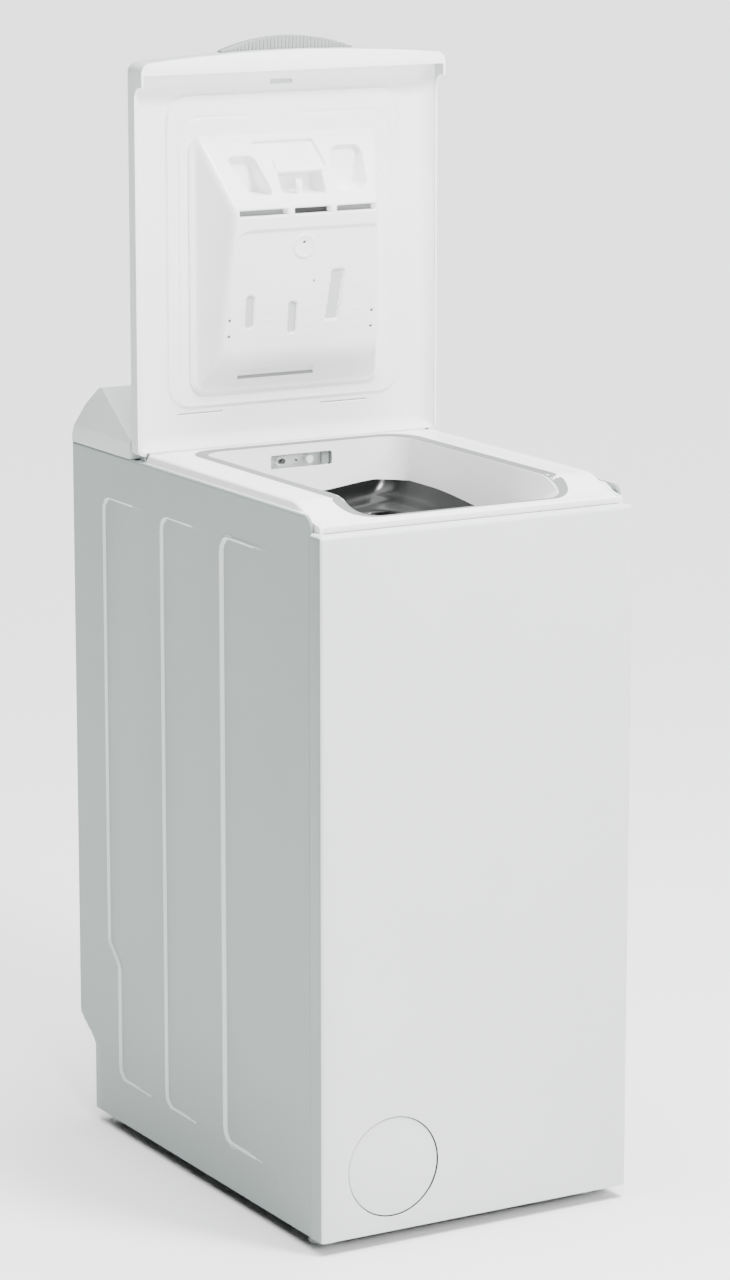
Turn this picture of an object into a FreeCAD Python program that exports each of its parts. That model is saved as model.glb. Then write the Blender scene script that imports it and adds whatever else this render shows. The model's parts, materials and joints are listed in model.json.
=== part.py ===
"""Slim top loading washing machine, lid standing open.

Millimetres. X to the right, the front panel faces -Y, Z up. The origin is on the floor
under the middle of the machine. Each function below makes one piece, or one set of
identical pieces, and the loop at the end writes it to parts/NAME.step.
"""
import FreeCAD, Part
import math
import os
from FreeCAD import Vector

# ---- overall sizes ---------------------------------------------------------------
WIDTH = 400.0  # over the side panels
DEPTH = 600.0  # front panel to rear edge of the side panels
SIDE_TOP = 830.0  # top edge of the side panels above the floor
FOOT_HEIGHT = 16.0  # underside of the panels above the floor
HALF = WIDTH / 2
FRONT = -DEPTH / 2
REAR = DEPTH / 2

# ---- fits ------------------------------------------------------------------------
GAP = 0.3  # between pieces that lie against each other or move past each other
RUNNING = 0.05  # radial clearance of a shaft in its bearing
SHEET = 1.0  # sheet steel
WALL = 2.5  # moulded plastic

# ---- cabinet ---------------------------------------------------------------------
PANEL_RETURN = 24.0  # the front panel wraps this far round each side
FRONT_DROP = 19.0  # front panel top edge below the side panel top
CORNER = 14.0  # radius of the side panel's front top corner
FLANGE = 12.0  # inward flanges of the sheet panels
POCKET_DEPTH = 3.0  # pressed pockets in the side panels, deepest at their rear line
POCKET_LENGTH = 105.0
POCKET_PITCH = 146.5
POCKET_COUNT = 3
POCKET_RADIUS = 18.0
POCKET_MARGIN = 53.0  # pocket ends from the panel's top and bottom
POCKET_REAR = 78.0  # rear edge of the panel to the rearmost pocket line
JOG = 26.0  # the rearmost pocket steps forward this far near the floor
JOG_HEIGHT = 194.0  # step above the panel's lower edge
NOTCH = 38.0  # the rear lower corner of the cabinet is cut back
NOTCH_LOW = 84.0
NOTCH_HIGH = 110.0
REAR_INSET = 12.0  # rear panel inside the side panels' rear edges
BASE_HEIGHT = 24.0

# ---- top frame, opening and seal ---------------------------------------------------
LEDGE = 0.5  # the frame's outer ledge below the side panel top
FRAME_RISE = 9.0  # frame top above the side panel top
FRAME_INSET = 13.0  # front face of the frame behind the front panel
SHOULDER = 7.0  # width of the outer ledge
EAR_ROOM = 5.0  # the frame is narrower here, where the lid's corners come down
SLOPE_START = 70.0  # front of the cabinet to where the frame top starts to fall
SLOPE_DROP = 20.0
OPENING_HALF = 134.0
OPENING_FRONT = 29.0  # front of the cabinet to the opening
OPENING_REAR = 102.5  # y behind the throat's rear wall
OPENING_RADIUS = 30.0
SEAL_WIDTH = 14.0
SEAL_PROUD = 0.4
SEAL_SEAT = 3.0
SLOT_HALF = 41.0  # water inlet slot in the throat's rear wall
SLOT_LOW = 812.0
SLOT_HEIGHT = 16.0
THROAT_LOW = 780.0
THROAT_FRONT = -192.0

# ---- tub and drum ------------------------------------------------------------------
DRUM_Y = -20.0
DRUM_Z = 430.0
DRUM_RADIUS = 230.0
DRUM_HALF = 128.0
DRUM_ROOM = 15.0  # drum to tub, all round
TUB_WALL = 5.0
TUB_RADIUS = DRUM_RADIUS + DRUM_ROOM + TUB_WALL
TUB_HALF = DRUM_HALF + DRUM_ROOM + TUB_WALL
NECK_HALF = 112.0
NECK_FRONT = -148.0
NECK_REAR = 84.0
NECK_TOP = 736.0
SHAFT_RADIUS = 12.5
BEARING_RADIUS = 26.0
BEARING_WIDTH = 15.0
HUB_RADIUS = 38.0
HUB_LENGTH = 17.0
PULLEY_RADIUS = 150.0
PULLEY_WIDTH = 14.0
PULLEY_GAP = 5.0
MOTOR_Y = 188.0
MOTOR_Z = 132.0
MOTOR_RADIUS = 58.0
MOTOR_HALF = 62.0
MOTOR_SHAFT = 7.0
MOTOR_PULLEY = 12.0
BELT = 3.0
BELT_WIDTH = 11.0
FLAP_HALF = 100.0  # half length of the drum's flaps
FLAP_ANGLE = 26.0  # each flap spans this much of the drum

# ---- lid, standing open -------------------------------------------------------------
HINGE_Y = 140.0
HINGE_Z = 843.0
LID_FACE = 3.5  # outer face behind the hinge axis
LID_SKIRT = 12.5  # skirt edge in front of the hinge axis
LID_TAIL = 7.0  # lid's lower edge below the hinge axis
LID_WALL = 3.0
LID_PLATE = 2.5
LID_OVERHANG = 3.0  # closed, the lid's corners stand out past the front panel
LID_CROWN = 10.0  # the front edge bulges by this much in the middle
LIP_DROP = 31.0  # lip edge in front of the hinge axis
LIP_BAND = 13.0
LINER_FACE = 1.0  # liner in front of the hinge axis
PAD_FACE = 3.0  # its raised middle in front of the hinge axis
PAD_HALF = 154.0
PAD_LOW = 44.0  # above the hinge axis
PAD_HIGH = 403.0
PAD_RADIUS = 28.0
PIN_RADIUS = 2.5
BRACKET_X = 187.0
BRACKET_SHEET = 2.0
BRACKET_RADIUS = 5.0
BRACKET_ROOM = 1.2
GRIP_HALF = 86.0
GRIP_RISE = 15.0
GRIP_THICK = 12.0

# ---- detergent dispenser in the lid ---------------------------------------------------
TRAY_HALF = OPENING_HALF - 7.0
TRAY_LOW = 57.0  # flange above the hinge axis
TRAY_HIGH = 357.0
TRAY_FACE = 6.0  # flange in front of the hinge axis
TRAY_RADIUS = 20.0
BODY_HALF = TRAY_HALF - 7.0
BODY_DEPTH = 50.0
BODY_SLANT = 26.0  # each side leans in by this much
BODY_LOW = 5.0
CHIN_DEPTH = 30.0
CHIN_RISE = 45.0
BROW_RISE = 216.0
BROW_TOP = 293.0
TRAY_WALL = 2.0

# ---- console --------------------------------------------------------------------------
CONSOLE_FRONT = 150.0
CONSOLE_LIP = 23.0
CONSOLE_RIDGE_Y = 262.0
CONSOLE_RIDGE = 70.0
CONSOLE_LEAN = 22.0
KNOB_RADIUS = 22.0
KNOB_HEIGHT = 14.0
BUTTON_RADIUS = 7.0
BUTTON_TRAVEL = 1.5

# ---- filter and feet --------------------------------------------------------------------
FILTER_X = -109.0
FILTER_Z = 91.0
COVER_RADIUS = 57.0
COVER_GAP = 0.6
CAP_RADIUS = 30.0
FOOT_RADIUS = 17.0
FOOT_X = 170.0
FOOT_FRONT = -250.0
FOOT_REAR = 238.0
BOLT_RADIUS = 5.0

FRONT_TOP = SIDE_TOP - FRONT_DROP
SEAM_Y = FRONT + PANEL_RETURN
FRAME_TOP = SIDE_TOP + FRAME_RISE
BASE_TOP = FOOT_HEIGHT + BASE_HEIGHT
TROUGH_Z = SIDE_TOP - 2
LID_BOTTOM = HINGE_Z - LID_TAIL
LID_CORNER_TOP = HINGE_Z + HINGE_Y - FRONT + LID_OVERHANG
LIP_INNER = LID_CORNER_TOP - LIP_BAND
SLOPE = math.atan2(CONSOLE_RIDGE - CONSOLE_LIP, CONSOLE_RIDGE_Y - CONSOLE_FRONT)
SHAFT_END = TUB_HALF + HUB_LENGTH + PULLEY_GAP + PULLEY_WIDTH


# ---- shape helpers ------------------------------------------------------------------------
def box(x0, x1, y0, y1, z0, z1):
    return Part.makeBox(x1 - x0, y1 - y0, z1 - z0, Vector(x0, y0, z0))


def rod(x, y, z, direction, length, radius, bore=0.0):
    """A cylinder from a point along X, Y or Z, with an optional bore."""
    start, way = Vector(x, y, z), Vector(*direction)
    solid = Part.makeCylinder(radius, length, start, way)
    if bore:
        solid = solid.cut(Part.makeCylinder(bore, length, start, way))
    return solid


def rounded_face(points, radii):
    """A flat face through the points, each corner rounded by its radius."""
    count = len(points)
    ends = []
    for i, corner in enumerate(points):
        to_last = (points[i - 1] - corner).normalize()
        to_next = (points[(i + 1) % count] - corner).normalize()
        half = to_last.getAngle(to_next) / 2
        middle = (to_last + to_next).normalize()
        radius = radii[i] if isinstance(radii, (list, tuple)) else radii
        reach = radius / math.tan(half)
        top = corner + middle * (radius / math.sin(half) - radius)
        ends.append((corner + to_last * reach, top, corner + to_next * reach, radius))
    edges = []
    for i, (start, top, stop, radius) in enumerate(ends):
        if radius > 0:
            edges.append(Part.Arc(start, top, stop).toShape())
        after = ends[(i + 1) % count][0]
        if (after - stop).Length > 1e-6:
            edges.append(Part.LineSegment(stop, after).toShape())
    return Part.Face(Part.Wire(edges))


def slab_z(x0, x1, y0, y1, z0, z1, radius):
    """A block standing along Z with rounded upright corners."""
    corners = [Vector(x0, y0, z0), Vector(x1, y0, z0), Vector(x1, y1, z0), Vector(x0, y1, z0)]
    return rounded_face(corners, radius).extrude(Vector(0, 0, z1 - z0))


def slab_y(x0, x1, z0, z1, y0, y1, radius):
    """A block lying along Y with rounded corners."""
    corners = [Vector(x0, y0, z0), Vector(x1, y0, z0), Vector(x1, y0, z1), Vector(x0, y0, z1)]
    return rounded_face(corners, radius).extrude(Vector(0, y1 - y0, 0))


def side_outline(points, x0, x1, radii=0.0):
    """A block along X whose outline is given as (y, z) points."""
    face = rounded_face([Vector(x0, y, z) for y, z in points], radii)
    return face.extrude(Vector(x1 - x0, 0, 0))


def front_outline(points, y0, y1, radii=0.0):
    """A block along Y whose outline is given as (x, z) points."""
    face = rounded_face([Vector(x, y0, z) for x, z in points], radii)
    return face.extrude(Vector(0, y1 - y0, 0))


def ring_wire(half, front, rear, z, radius):
    corners = [(-half, front), (half, front), (half, rear), (-half, rear)]
    return rounded_face([Vector(x, y, z) for x, y in corners], radius).OuterWire


def funnel(levels):
    """A solid through rounded rectangles, each (half width, front, rear, z, radius)."""
    pieces = []
    for lower, upper in zip(levels, levels[1:]):
        pieces.append(Part.makeLoft([ring_wire(*lower), ring_wire(*upper)], True, True))
    return join(pieces)


def join(pieces):
    whole = pieces[0]
    if len(pieces) > 1:
        whole = whole.multiFuse(pieces[1:])
    return whole.removeSplitter()


def mirrored(shape):
    return shape.mirror(Vector(0, 0, 0), Vector(1, 0, 0))


def pipe(points, bend, radius, bore=0.0):
    """A round pipe through the points, with bends of one radius."""
    edges = []
    start = points[0]
    for before, corner, after in zip(points, points[1:], points[2:]):
        back = (before - corner).normalize()
        forth = (after - corner).normalize()
        half = back.getAngle(forth) / 2
        middle = (back + forth).normalize()
        reach = bend / math.tan(half)
        top = corner + middle * (bend / math.sin(half) - bend)
        edges.append(Part.LineSegment(start, corner + back * reach).toShape())
        edges.append(Part.Arc(corner + back * reach, top, corner + forth * reach).toShape())
        start = corner + forth * reach
    edges.append(Part.LineSegment(start, points[-1]).toShape())
    spine = Part.Wire(edges)
    way = points[1] - points[0]

    def swept(size):
        profile = Part.Wire([Part.makeCircle(size, points[0], way)])
        return spine.makePipeShell([profile], True, False)

    solid = swept(radius)
    if bore:
        solid = solid.cut(swept(bore))
    return solid


def on_slope(shape, x, share):
    """Moves a shape from the XY plane to the console's sloping face."""
    run = CONSOLE_RIDGE_Y - CONSOLE_FRONT
    rise = CONSOLE_RIDGE - CONSOLE_LIP
    shape = shape.copy()
    shape.rotate(Vector(0, 0, 0), Vector(1, 0, 0), math.degrees(SLOPE))
    y = CONSOLE_FRONT + run * share
    shape.translate(Vector(x, y, SIDE_TOP + CONSOLE_LIP + rise * share))
    return shape


# ---- cabinet ----------------------------------------------------------------------------------
def cabinet_side(x0, x1, grow=0.0):
    """The side view of the cabinet between two x values, smaller by grow all round."""
    bottom = FOOT_HEIGHT + grow
    rear = REAR - grow
    points = [
        (SEAM_Y + grow, bottom),
        (REAR - NOTCH - grow, bottom),
        (REAR - NOTCH - grow, FOOT_HEIGHT + NOTCH_LOW),
        (rear, FOOT_HEIGHT + NOTCH_HIGH),
        (rear, SIDE_TOP - grow),
        (SEAM_Y + grow, SIDE_TOP - grow),
    ]
    return side_outline(points, x0, x1, [0, 0, 18, 18, 0, max(CORNER - grow, 1)])


def pocket(number, inward, grow):
    """One pressed pocket of the left side panel, as the solid that it hollows out."""
    rear = REAR - POCKET_REAR - number * POCKET_PITCH + grow
    front = REAR - POCKET_REAR - number * POCKET_PITCH - POCKET_LENGTH
    low = FOOT_HEIGHT + POCKET_MARGIN - grow
    high = SIDE_TOP - POCKET_MARGIN + grow
    points = [(front, low), (rear, low), (rear, high), (front, high)]
    radii = [0, POCKET_RADIUS, POCKET_RADIUS, 0]
    if number == 0:
        step = FOOT_HEIGHT + JOG_HEIGHT
        points[1:2] = [(rear - JOG, low), (rear - JOG, step), (rear, step + JOG)]
        radii = [0, POCKET_RADIUS, 14, 14, POCKET_RADIUS, 0]
    outline = side_outline(points, -HALF - 1, -HALF + 3 * POCKET_DEPTH, radii)
    wedge = [
        Vector(-HALF - 1, rear + 1, low - 1),
        Vector(-HALF + POCKET_DEPTH + inward, rear + 1, low - 1),
        Vector(-HALF + inward, front, low - 1),
        Vector(-HALF - 1, front, low - 1),
    ]
    sloped = rounded_face(wedge, 0.0).extrude(Vector(0, 0, high - low + 2))
    return outline.common(sloped)


def side_panel_left():
    sheet = cabinet_side(-HALF, -HALF + SHEET)
    flanges = cabinet_side(-HALF, -HALF + FLANGE)
    flanges = flanges.cut(cabinet_side(-HALF - 1, -HALF + FLANGE + 1, SHEET))
    top_cut = box(-HALF + SHEET, 0, -DEPTH, DEPTH, FRONT_TOP - SHEET, SIDE_TOP + 1)
    flanges = flanges.cut(top_cut)
    panel = join([sheet, flanges] + [pocket(n, SHEET, SHEET) for n in range(POCKET_COUNT)])
    panel = panel.common(box(-HALF, 0, -DEPTH, DEPTH, 0, SIDE_TOP))
    for number in range(POCKET_COUNT):
        panel = panel.cut(pocket(number, 0.0, 0.0))
    return panel


def side_panel_right():
    return mirrored(side_panel_left())


def front_panel():
    """Sheet with side returns, an inward top and bottom flange and the filter hole."""
    outer = slab_z(-HALF, HALF, FRONT, SEAM_Y + 20, FOOT_HEIGHT, FRONT_TOP, 4.0)
    inner = slab_z(
        -HALF + SHEET, HALF - SHEET, FRONT + SHEET, SEAM_Y + 19,
        FOOT_HEIGHT + SHEET, FRONT_TOP - SHEET, 3.0,
    )
    shell = outer.cut(inner)
    shell = shell.cut(box(-DEPTH, DEPTH, SEAM_Y - GAP, DEPTH, 0, SIDE_TOP + 1))
    middle = HALF - SHEET
    inward = FRONT + SHEET + FLANGE
    shell = shell.cut(box(-middle, middle, inward, DEPTH, 0, SIDE_TOP + 1))
    hole = rod(FILTER_X, FRONT - 1, FILTER_Z, (0, 1, 0), 3, COVER_RADIUS + COVER_GAP)
    return shell.cut(hole)


def rear_panel():
    """Rear sheet with pressed ribs, seated on the side panels' rear flanges."""
    face = REAR - REAR_INSET
    low = FOOT_HEIGHT + NOTCH_HIGH + 8
    half = HALF - FLANGE - GAP
    sheet = box(-half, half, face - SHEET, face, low, SIDE_TOP - GAP)
    for x in (-90, 90):
        rib = slab_y(x - 30, x + 30, low + 60, low + 420, face - 4, face - SHEET, 12.0)
        hollow = slab_y(
            x - 29, x + 29, low + 61, low + 419, face - 4 + SHEET, face, 11.0
        )
        sheet = sheet.fuse(rib).cut(hollow)
    for x, z, radius in REAR_HOLES:
        sheet = sheet.cut(rod(x, face - 10, z, (0, 1, 0), 20, radius + GAP))
    edge = box(half - 8, half, face, REAR - SHEET - GAP, low, SIDE_TOP - GAP)
    edge = edge.cut(box(half - 8 - 1, half - SHEET, face, REAR, 0, SIDE_TOP + 1))
    return join([sheet, edge, mirrored(edge)])


REAR_HOLES = [(120.0, 770.0, 13.0), (-120.0, 770.0, 9.0), (-60.0, 700.0, 12.0)]


def base_frame():
    """Moulded floor frame inside the panels, with a foot boss at each corner."""
    half = HALF - FLANGE - GAP
    front = FRONT + SHEET + FLANGE + GAP
    rear = REAR - NOTCH - SHEET - GAP
    low = FOOT_HEIGHT + SHEET + GAP
    outer = slab_z(-half, half, front, rear, low, BASE_TOP, 6.0)
    inner = slab_z(-half + 20, half - 20, front + 20, rear - 20, low + 3, BASE_TOP + 1, 4.0)
    frame = outer.cut(inner)
    for x in (-95, 0, 95):
        frame = frame.fuse(box(x - 2, x + 2, front + 10, rear - 10, low, BASE_TOP - 8))
    for x, y in foot_places():
        frame = frame.fuse(rod(x, y, low, (0, 0, 1), BASE_TOP - low, 14.0))
    for x, y in foot_places():
        frame = frame.cut(rod(x, y, 0, (0, 0, 1), 2 * BASE_TOP, BOLT_RADIUS + RUNNING))
    for x, y in DAMPER_PLACES:
        frame = frame.fuse(rod(x, y, low, (0, 0, 1), BASE_TOP + 6 - low, 12.0))
    return frame.removeSplitter()


DAMPER_PLACES = [(-72.0, -90.0), (72.0, -90.0)]


def foot_places():
    return [(x, y) for y in (FOOT_FRONT, FOOT_REAR) for x in (-FOOT_X, FOOT_X)]


def foot(x, y):
    """Levelling foot: round pad, hexagon and threaded stem."""
    pad = Part.makeCone(FOOT_RADIUS, FOOT_RADIUS - 2, 9, Vector(x, y, 0))
    corners = [
        Vector(x + 11 * math.cos(a * math.pi / 3), y + 11 * math.sin(a * math.pi / 3), 8.5)
        for a in range(6)
    ]
    nut = rounded_face(corners, 0.0).extrude(Vector(0, 0, 6))
    stem = rod(x, y, 9, (0, 0, 1), 45, BOLT_RADIUS)
    return join([pad, nut, stem])


def cross_braces():
    """Two folded beams across the cabinet, which carry the suspension springs."""
    beams = []
    half = HALF - POCKET_DEPTH - 2 * SHEET - GAP
    for y, _ in SPRING_PLACES:
        y0, y1 = y - BEAM_HALF, y + BEAM_HALF
        beam = box(-half, half, y0, y1, BEAM_Z, BEAM_Z + 22)
        beam = beam.cut(box(-half, half, y0 + 1.5, y1 - 1.5, BEAM_Z + 1.5, BEAM_Z + 23))
        beams.append(beam)
    return Part.makeCompound(beams)


BEAM_Z = 730.0
BEAM_HALF = 15.0


# ---- top frame, throat, seal and bellows ----------------------------------------------------------
def frame_ceiling(lower, front_gap=0.0):
    """Everything above the frame's top surface, which falls away at the front."""
    top = FRAME_TOP - lower
    start = FRONT + SLOPE_START
    low = top - SLOPE_DROP
    front = FRONT + FRAME_INSET + front_gap
    points = [
        (HINGE_Y + 60, top),
        (HINGE_Y + 60, top + 60),
        (front - 60, top + 60),
        (front - 60, low),
        (front, low),
        (start, top),
    ]
    return side_outline(points, -WIDTH, WIDTH)


def top_frame():
    """Moulded frame round the opening, hollow from below."""
    front = FRONT + FRAME_INSET
    rear = CONSOLE_FRONT - GAP
    half = HALF - SHEET - GAP
    low = FRONT_TOP + SHEET
    ledge = SIDE_TOP - LEDGE
    base = slab_z(-half, half, front, rear, low, ledge, 4.0)
    raised = slab_z(
        -half + SHOULDER, half - SHOULDER, front, rear, ledge - 1, FRAME_TOP, 8.0
    )
    body = base.fuse(raised)
    body = body.cut(frame_ceiling(0.0))
    for side in (-1, 1):
        x = side * (half - EAR_ROOM / 2 + 1)
        wide = EAR_ROOM / 2 + 1
        body = body.cut(box(x - wide, x + wide, front - 1, SEAM_Y + CORNER + 1, 0, FRAME_TOP))
    inside = slab_z(
        -half + WALL + EAR_ROOM, half - WALL - EAR_ROOM, front + WALL, rear - WALL,
        low - 1, FRAME_TOP - WALL, 3.0,
    )
    inside = inside.cut(frame_ceiling(WALL, WALL))
    inside = inside.cut(box(-HALF, HALF, TROUGH_FRONT - WALL, REAR, TROUGH_Z - WALL, HINGE_Z))
    seat = OPENING_HALF + SEAL_WIDTH + WALL
    inside = inside.cut(
        slab_z(-seat, seat, FRONT + OPENING_FRONT - WALL, OPENING_REAR + SEAL_WIDTH + WALL,
               FRAME_TOP - SEAL_SEAT - WALL - SLOPE_DROP, FRAME_TOP, OPENING_RADIUS)
    )
    body = body.cut(inside)
    body = body.cut(box(-HALF, HALF, TROUGH_FRONT, REAR, TROUGH_Z, FRAME_TOP + 1))
    opening = slab_z(
        -OPENING_HALF - GAP, OPENING_HALF + GAP, FRONT + OPENING_FRONT - GAP,
        OPENING_REAR + GAP, low - 1, FRAME_TOP + 1, OPENING_RADIUS,
    )
    body = body.cut(opening)
    nozzle = SLOT_HALF + 6
    body = body.cut(box(-nozzle, nozzle, OPENING_REAR - 1, OPENING_REAR + 20, low - 1,
                        SLOT_LOW + SLOT_HEIGHT + 3))
    return body.cut(seal_room(GAP / 2)).removeSplitter()


TROUGH_FRONT = 124.0


def seal_room(grow):
    """The rabbet for the seal, which follows the frame's top surface."""
    outer = slab_z(
        -OPENING_HALF - SEAL_WIDTH - grow, OPENING_HALF + SEAL_WIDTH + grow,
        FRONT + OPENING_FRONT + 1, OPENING_REAR + SEAL_WIDTH + grow,
        SIDE_TOP - SLOPE_DROP, FRAME_TOP + 2, OPENING_RADIUS + SEAL_WIDTH,
    )
    inner = slab_z(
        -OPENING_HALF, OPENING_HALF, FRONT, OPENING_REAR,
        SIDE_TOP - SLOPE_DROP - 1, FRAME_TOP + 3, OPENING_RADIUS,
    )
    return outer.cut(inner).common(frame_ceiling(SEAL_SEAT + grow))


def lid_seal():
    """Soft strip round the rear and both sides of the opening."""
    return seal_room(0.0).cut(frame_ceiling(-SEAL_PROUD))


def throat_levels(inset):
    """Rounded rectangles of the loading throat, widest at the top."""
    front = FRONT + OPENING_FRONT + inset
    half, rear = OPENING_HALF - inset, OPENING_REAR - inset
    radius = OPENING_RADIUS - inset
    return [
        (half - 5, THROAT_FRONT + inset, rear - 3, THROAT_LOW, radius),
        (half, front, rear, SIDE_TOP - SLOPE_DROP, radius),
        (half, front, rear, FRAME_TOP, radius),
    ]


def throat():
    """Funnel between the opening and the bellows, with the water inlet slot."""
    body = funnel(throat_levels(0.0)).cut(funnel(throat_levels(WALL)))
    body = body.cut(frame_ceiling(1.0))
    slot = slab_y(
        -SLOT_HALF, SLOT_HALF, SLOT_LOW, SLOT_LOW + SLOT_HEIGHT,
        OPENING_REAR - 3 * WALL, OPENING_REAR + WALL, 1.5,
    )
    return body.cut(slot)


def bellows_levels(inset):
    top = THROAT_LOW - GAP
    front, rear, half = THROAT_FRONT, OPENING_REAR - 3, OPENING_HALF - 5
    middle = (NECK_TOP + top) / 2
    return [
        (NECK_HALF - inset, NECK_FRONT + inset, NECK_REAR - inset, NECK_TOP + GAP, 34.0 - inset),
        (half - 16 - inset, NECK_FRONT + 8 + inset, rear - 22 - inset, middle - 6, 40.0 - inset),
        (half - 12 - inset, NECK_FRONT - 4 + inset, rear - 17 - inset, middle + 8, 40.0 - inset),
        (half - inset, front + inset, rear - inset, top, OPENING_RADIUS - inset),
    ]


def bellows():
    """Rubber gasket from the throat down to the tub's neck."""
    return funnel(bellows_levels(0.0)).cut(funnel(bellows_levels(3.0)))


def inlet_nozzle():
    """Water distributor behind the throat's slot, with two jets and a baffle."""
    low, high = SLOT_LOW - 4, SLOT_LOW + SLOT_HEIGHT + 2
    back = OPENING_REAR + GAP
    half = SLOT_HALF + 5
    body = box(-half, half, back, back + 18, low, high)
    body = body.cut(box(-half + 2, half - 2, back - 1, back + 14, low + 2, high - 2))
    baffle = box(half - 14, half - 8, back + 2, back + 14, low + 2, high - 2)
    jet = rod(-25, back + 4, (low + high) / 2, (0, 1, 0), 10, 5.0, 3.0)
    boss = rod(14, back + 4, (low + high) / 2, (0, 1, 0), 10, 4.0)
    neck = rod(0, back + 9, low - 10, (0, 0, 1), 11, 7.0)
    body = join([body, baffle, jet, boss, neck])
    return body.cut(rod(0, back + 9, low - 11, (0, 0, 1), 14, 5.0))


def inlet_hose():
    """Short hose from the valve to the distributor."""
    top = SLOT_LOW - 14 - GAP
    y = OPENING_REAR + GAP + 9
    valve_x, valve_z, _ = REAR_HOLES[0]
    middle = (y + VALVE_Y) / 2
    points = [
        Vector(0, y, top), Vector(0, y, valve_z), Vector(0, middle, valve_z),
        Vector(valve_x, middle, valve_z), Vector(valve_x, VALVE_Y - GAP, valve_z),
    ]
    return pipe(points, 12.0, 7.0, 5.0)


VALVE_Y = 226.0


def inlet_valve():
    """Solenoid valve whose threaded port passes through the rear panel."""
    x, z, radius = REAR_HOLES[0]
    face = REAR - REAR_INSET
    body = box(x - 16, x + 16, VALVE_Y + 8, face - SHEET - GAP - 3, z - 16, z + 16)
    spout = rod(x, VALVE_Y, z, (0, 1, 0), 12, 7.0, 5.0)
    coil = rod(x, (VALVE_Y + face) / 2 + 2, z + 15, (0, 0, 1), 24, 13.0)
    flange = rod(x, face - SHEET - GAP - 3, z, (0, 1, 0), 3, 20.0)
    port = rod(x, face - SHEET - GAP - 1, z, (0, 1, 0), REAR_INSET + SHEET, radius)
    collar = rod(x, face + GAP, z, (0, 1, 0), 2, radius + 4)
    body = join([body, spout, coil, flange, port, collar])
    return body.cut(rod(x, face - 4, z, (0, 1, 0), 30, radius - 4))


def door_lock():
    """Lid lock under the front of the top frame."""
    y0 = FRONT + FRAME_INSET + 2 * WALL
    body = box(-32, 32, y0, y0 + 18, FRONT_TOP - 40, FRONT_TOP - 10)
    bolt = rod(LATCH_X, y0 + 8, FRONT_TOP - 11, (0, 0, 1), 6, 4.0)
    bracket = box(-44, 44, y0 - 3, y0, FRONT_TOP - 30, FRONT_TOP + SHEET - GAP)
    return join([body, bolt, bracket])


# ---- tub --------------------------------------------------------------------------------------------
def drum_rod(x0, x1, radius, bore=0.0):
    return rod(x0, DRUM_Y, DRUM_Z, (1, 0, 0), x1 - x0, radius, bore)


SUMP_HALF = 70.0
SUMP_FRONT = -80.0
SUMP_REAR = 30.0
SUMP_DEPTH = 24.0
RIB_COUNT = 12


def tub():
    """Both halves of the tub in one, before they are parted at x = 0."""
    bottom = DRUM_Z - TUB_RADIUS
    outer = drum_rod(-TUB_HALF, TUB_HALF, TUB_RADIUS)
    flange = drum_rod(-7, 7, TUB_RADIUS + 9)
    neck = slab_z(-NECK_HALF, NECK_HALF, NECK_FRONT, NECK_REAR, DRUM_Z, NECK_TOP, 34.0)
    sump = slab_z(
        -SUMP_HALF, SUMP_HALF, SUMP_FRONT, SUMP_REAR, bottom - SUMP_DEPTH, DRUM_Z, 12.0
    )
    outlet = rod(0, (SUMP_FRONT + SUMP_REAR) / 2, bottom - SUMP_DEPTH - 12, (0, 0, 1), 14, 16.0)
    hubs = drum_rod(-TUB_HALF - HUB_LENGTH, TUB_HALF + HUB_LENGTH, HUB_RADIUS)
    solid = join([outer, flange, neck, sump, outlet, hubs] + tub_ribs() + spring_lugs()
                 + motor_lugs())
    inside = drum_rod(-TUB_HALF + TUB_WALL, TUB_HALF - TUB_WALL, TUB_RADIUS - TUB_WALL)
    throat_room = slab_z(
        -NECK_HALF + 4, NECK_HALF - 4, NECK_FRONT + 4, NECK_REAR - 4, DRUM_Z, NECK_TOP + 1, 30.0
    )
    sump_room = slab_z(
        -SUMP_HALF + 4, SUMP_HALF - 4, SUMP_FRONT + 4, SUMP_REAR - 4,
        bottom - SUMP_DEPTH + 4, DRUM_Z, 8.0,
    )
    drain = rod(0, (SUMP_FRONT + SUMP_REAR) / 2, 0, (0, 0, 1), bottom, 12.0)
    solid = solid.cut(join([inside, throat_room, sump_room])).cut(drain)
    seat = TUB_HALF + HUB_LENGTH - BEARING_WIDTH
    for x0 in (-TUB_HALF - HUB_LENGTH, seat):
        solid = solid.cut(drum_rod(x0, x0 + BEARING_WIDTH, BEARING_RADIUS))
    solid = solid.cut(drum_rod(-WIDTH, WIDTH, SHAFT_RADIUS + 1))
    for y, z in bolt_circle():
        solid = solid.cut(rod(-20, y, z, (1, 0, 0), 40, 2.5))
    return solid


def tub_ribs():
    """Stiffening ribs on both end walls, from the hub towards the rim."""
    ribs = []
    for side in (-1, 1):
        for number in range(RIB_COUNT):
            x = side * (TUB_HALF + 4)
            rib = box(x - 5, x + 5, DRUM_Y + HUB_RADIUS - 4, DRUM_Y + TUB_RADIUS - 14,
                      DRUM_Z - 2, DRUM_Z + 2)
            turn = 360.0 * (number + 0.5) / RIB_COUNT
            rib.rotate(Vector(0, DRUM_Y, DRUM_Z), Vector(1, 0, 0), turn)
            ribs.append(rib)
    return ribs


SPRING_X = 128.0
SPRING_PLACES = [(SEAM_Y + 3 + BEAM_HALF, 596.0), (211.0, 596.0)]


LUG_ARM = 50.0  # least length of a lug's arm, from its spring towards the tub


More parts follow.
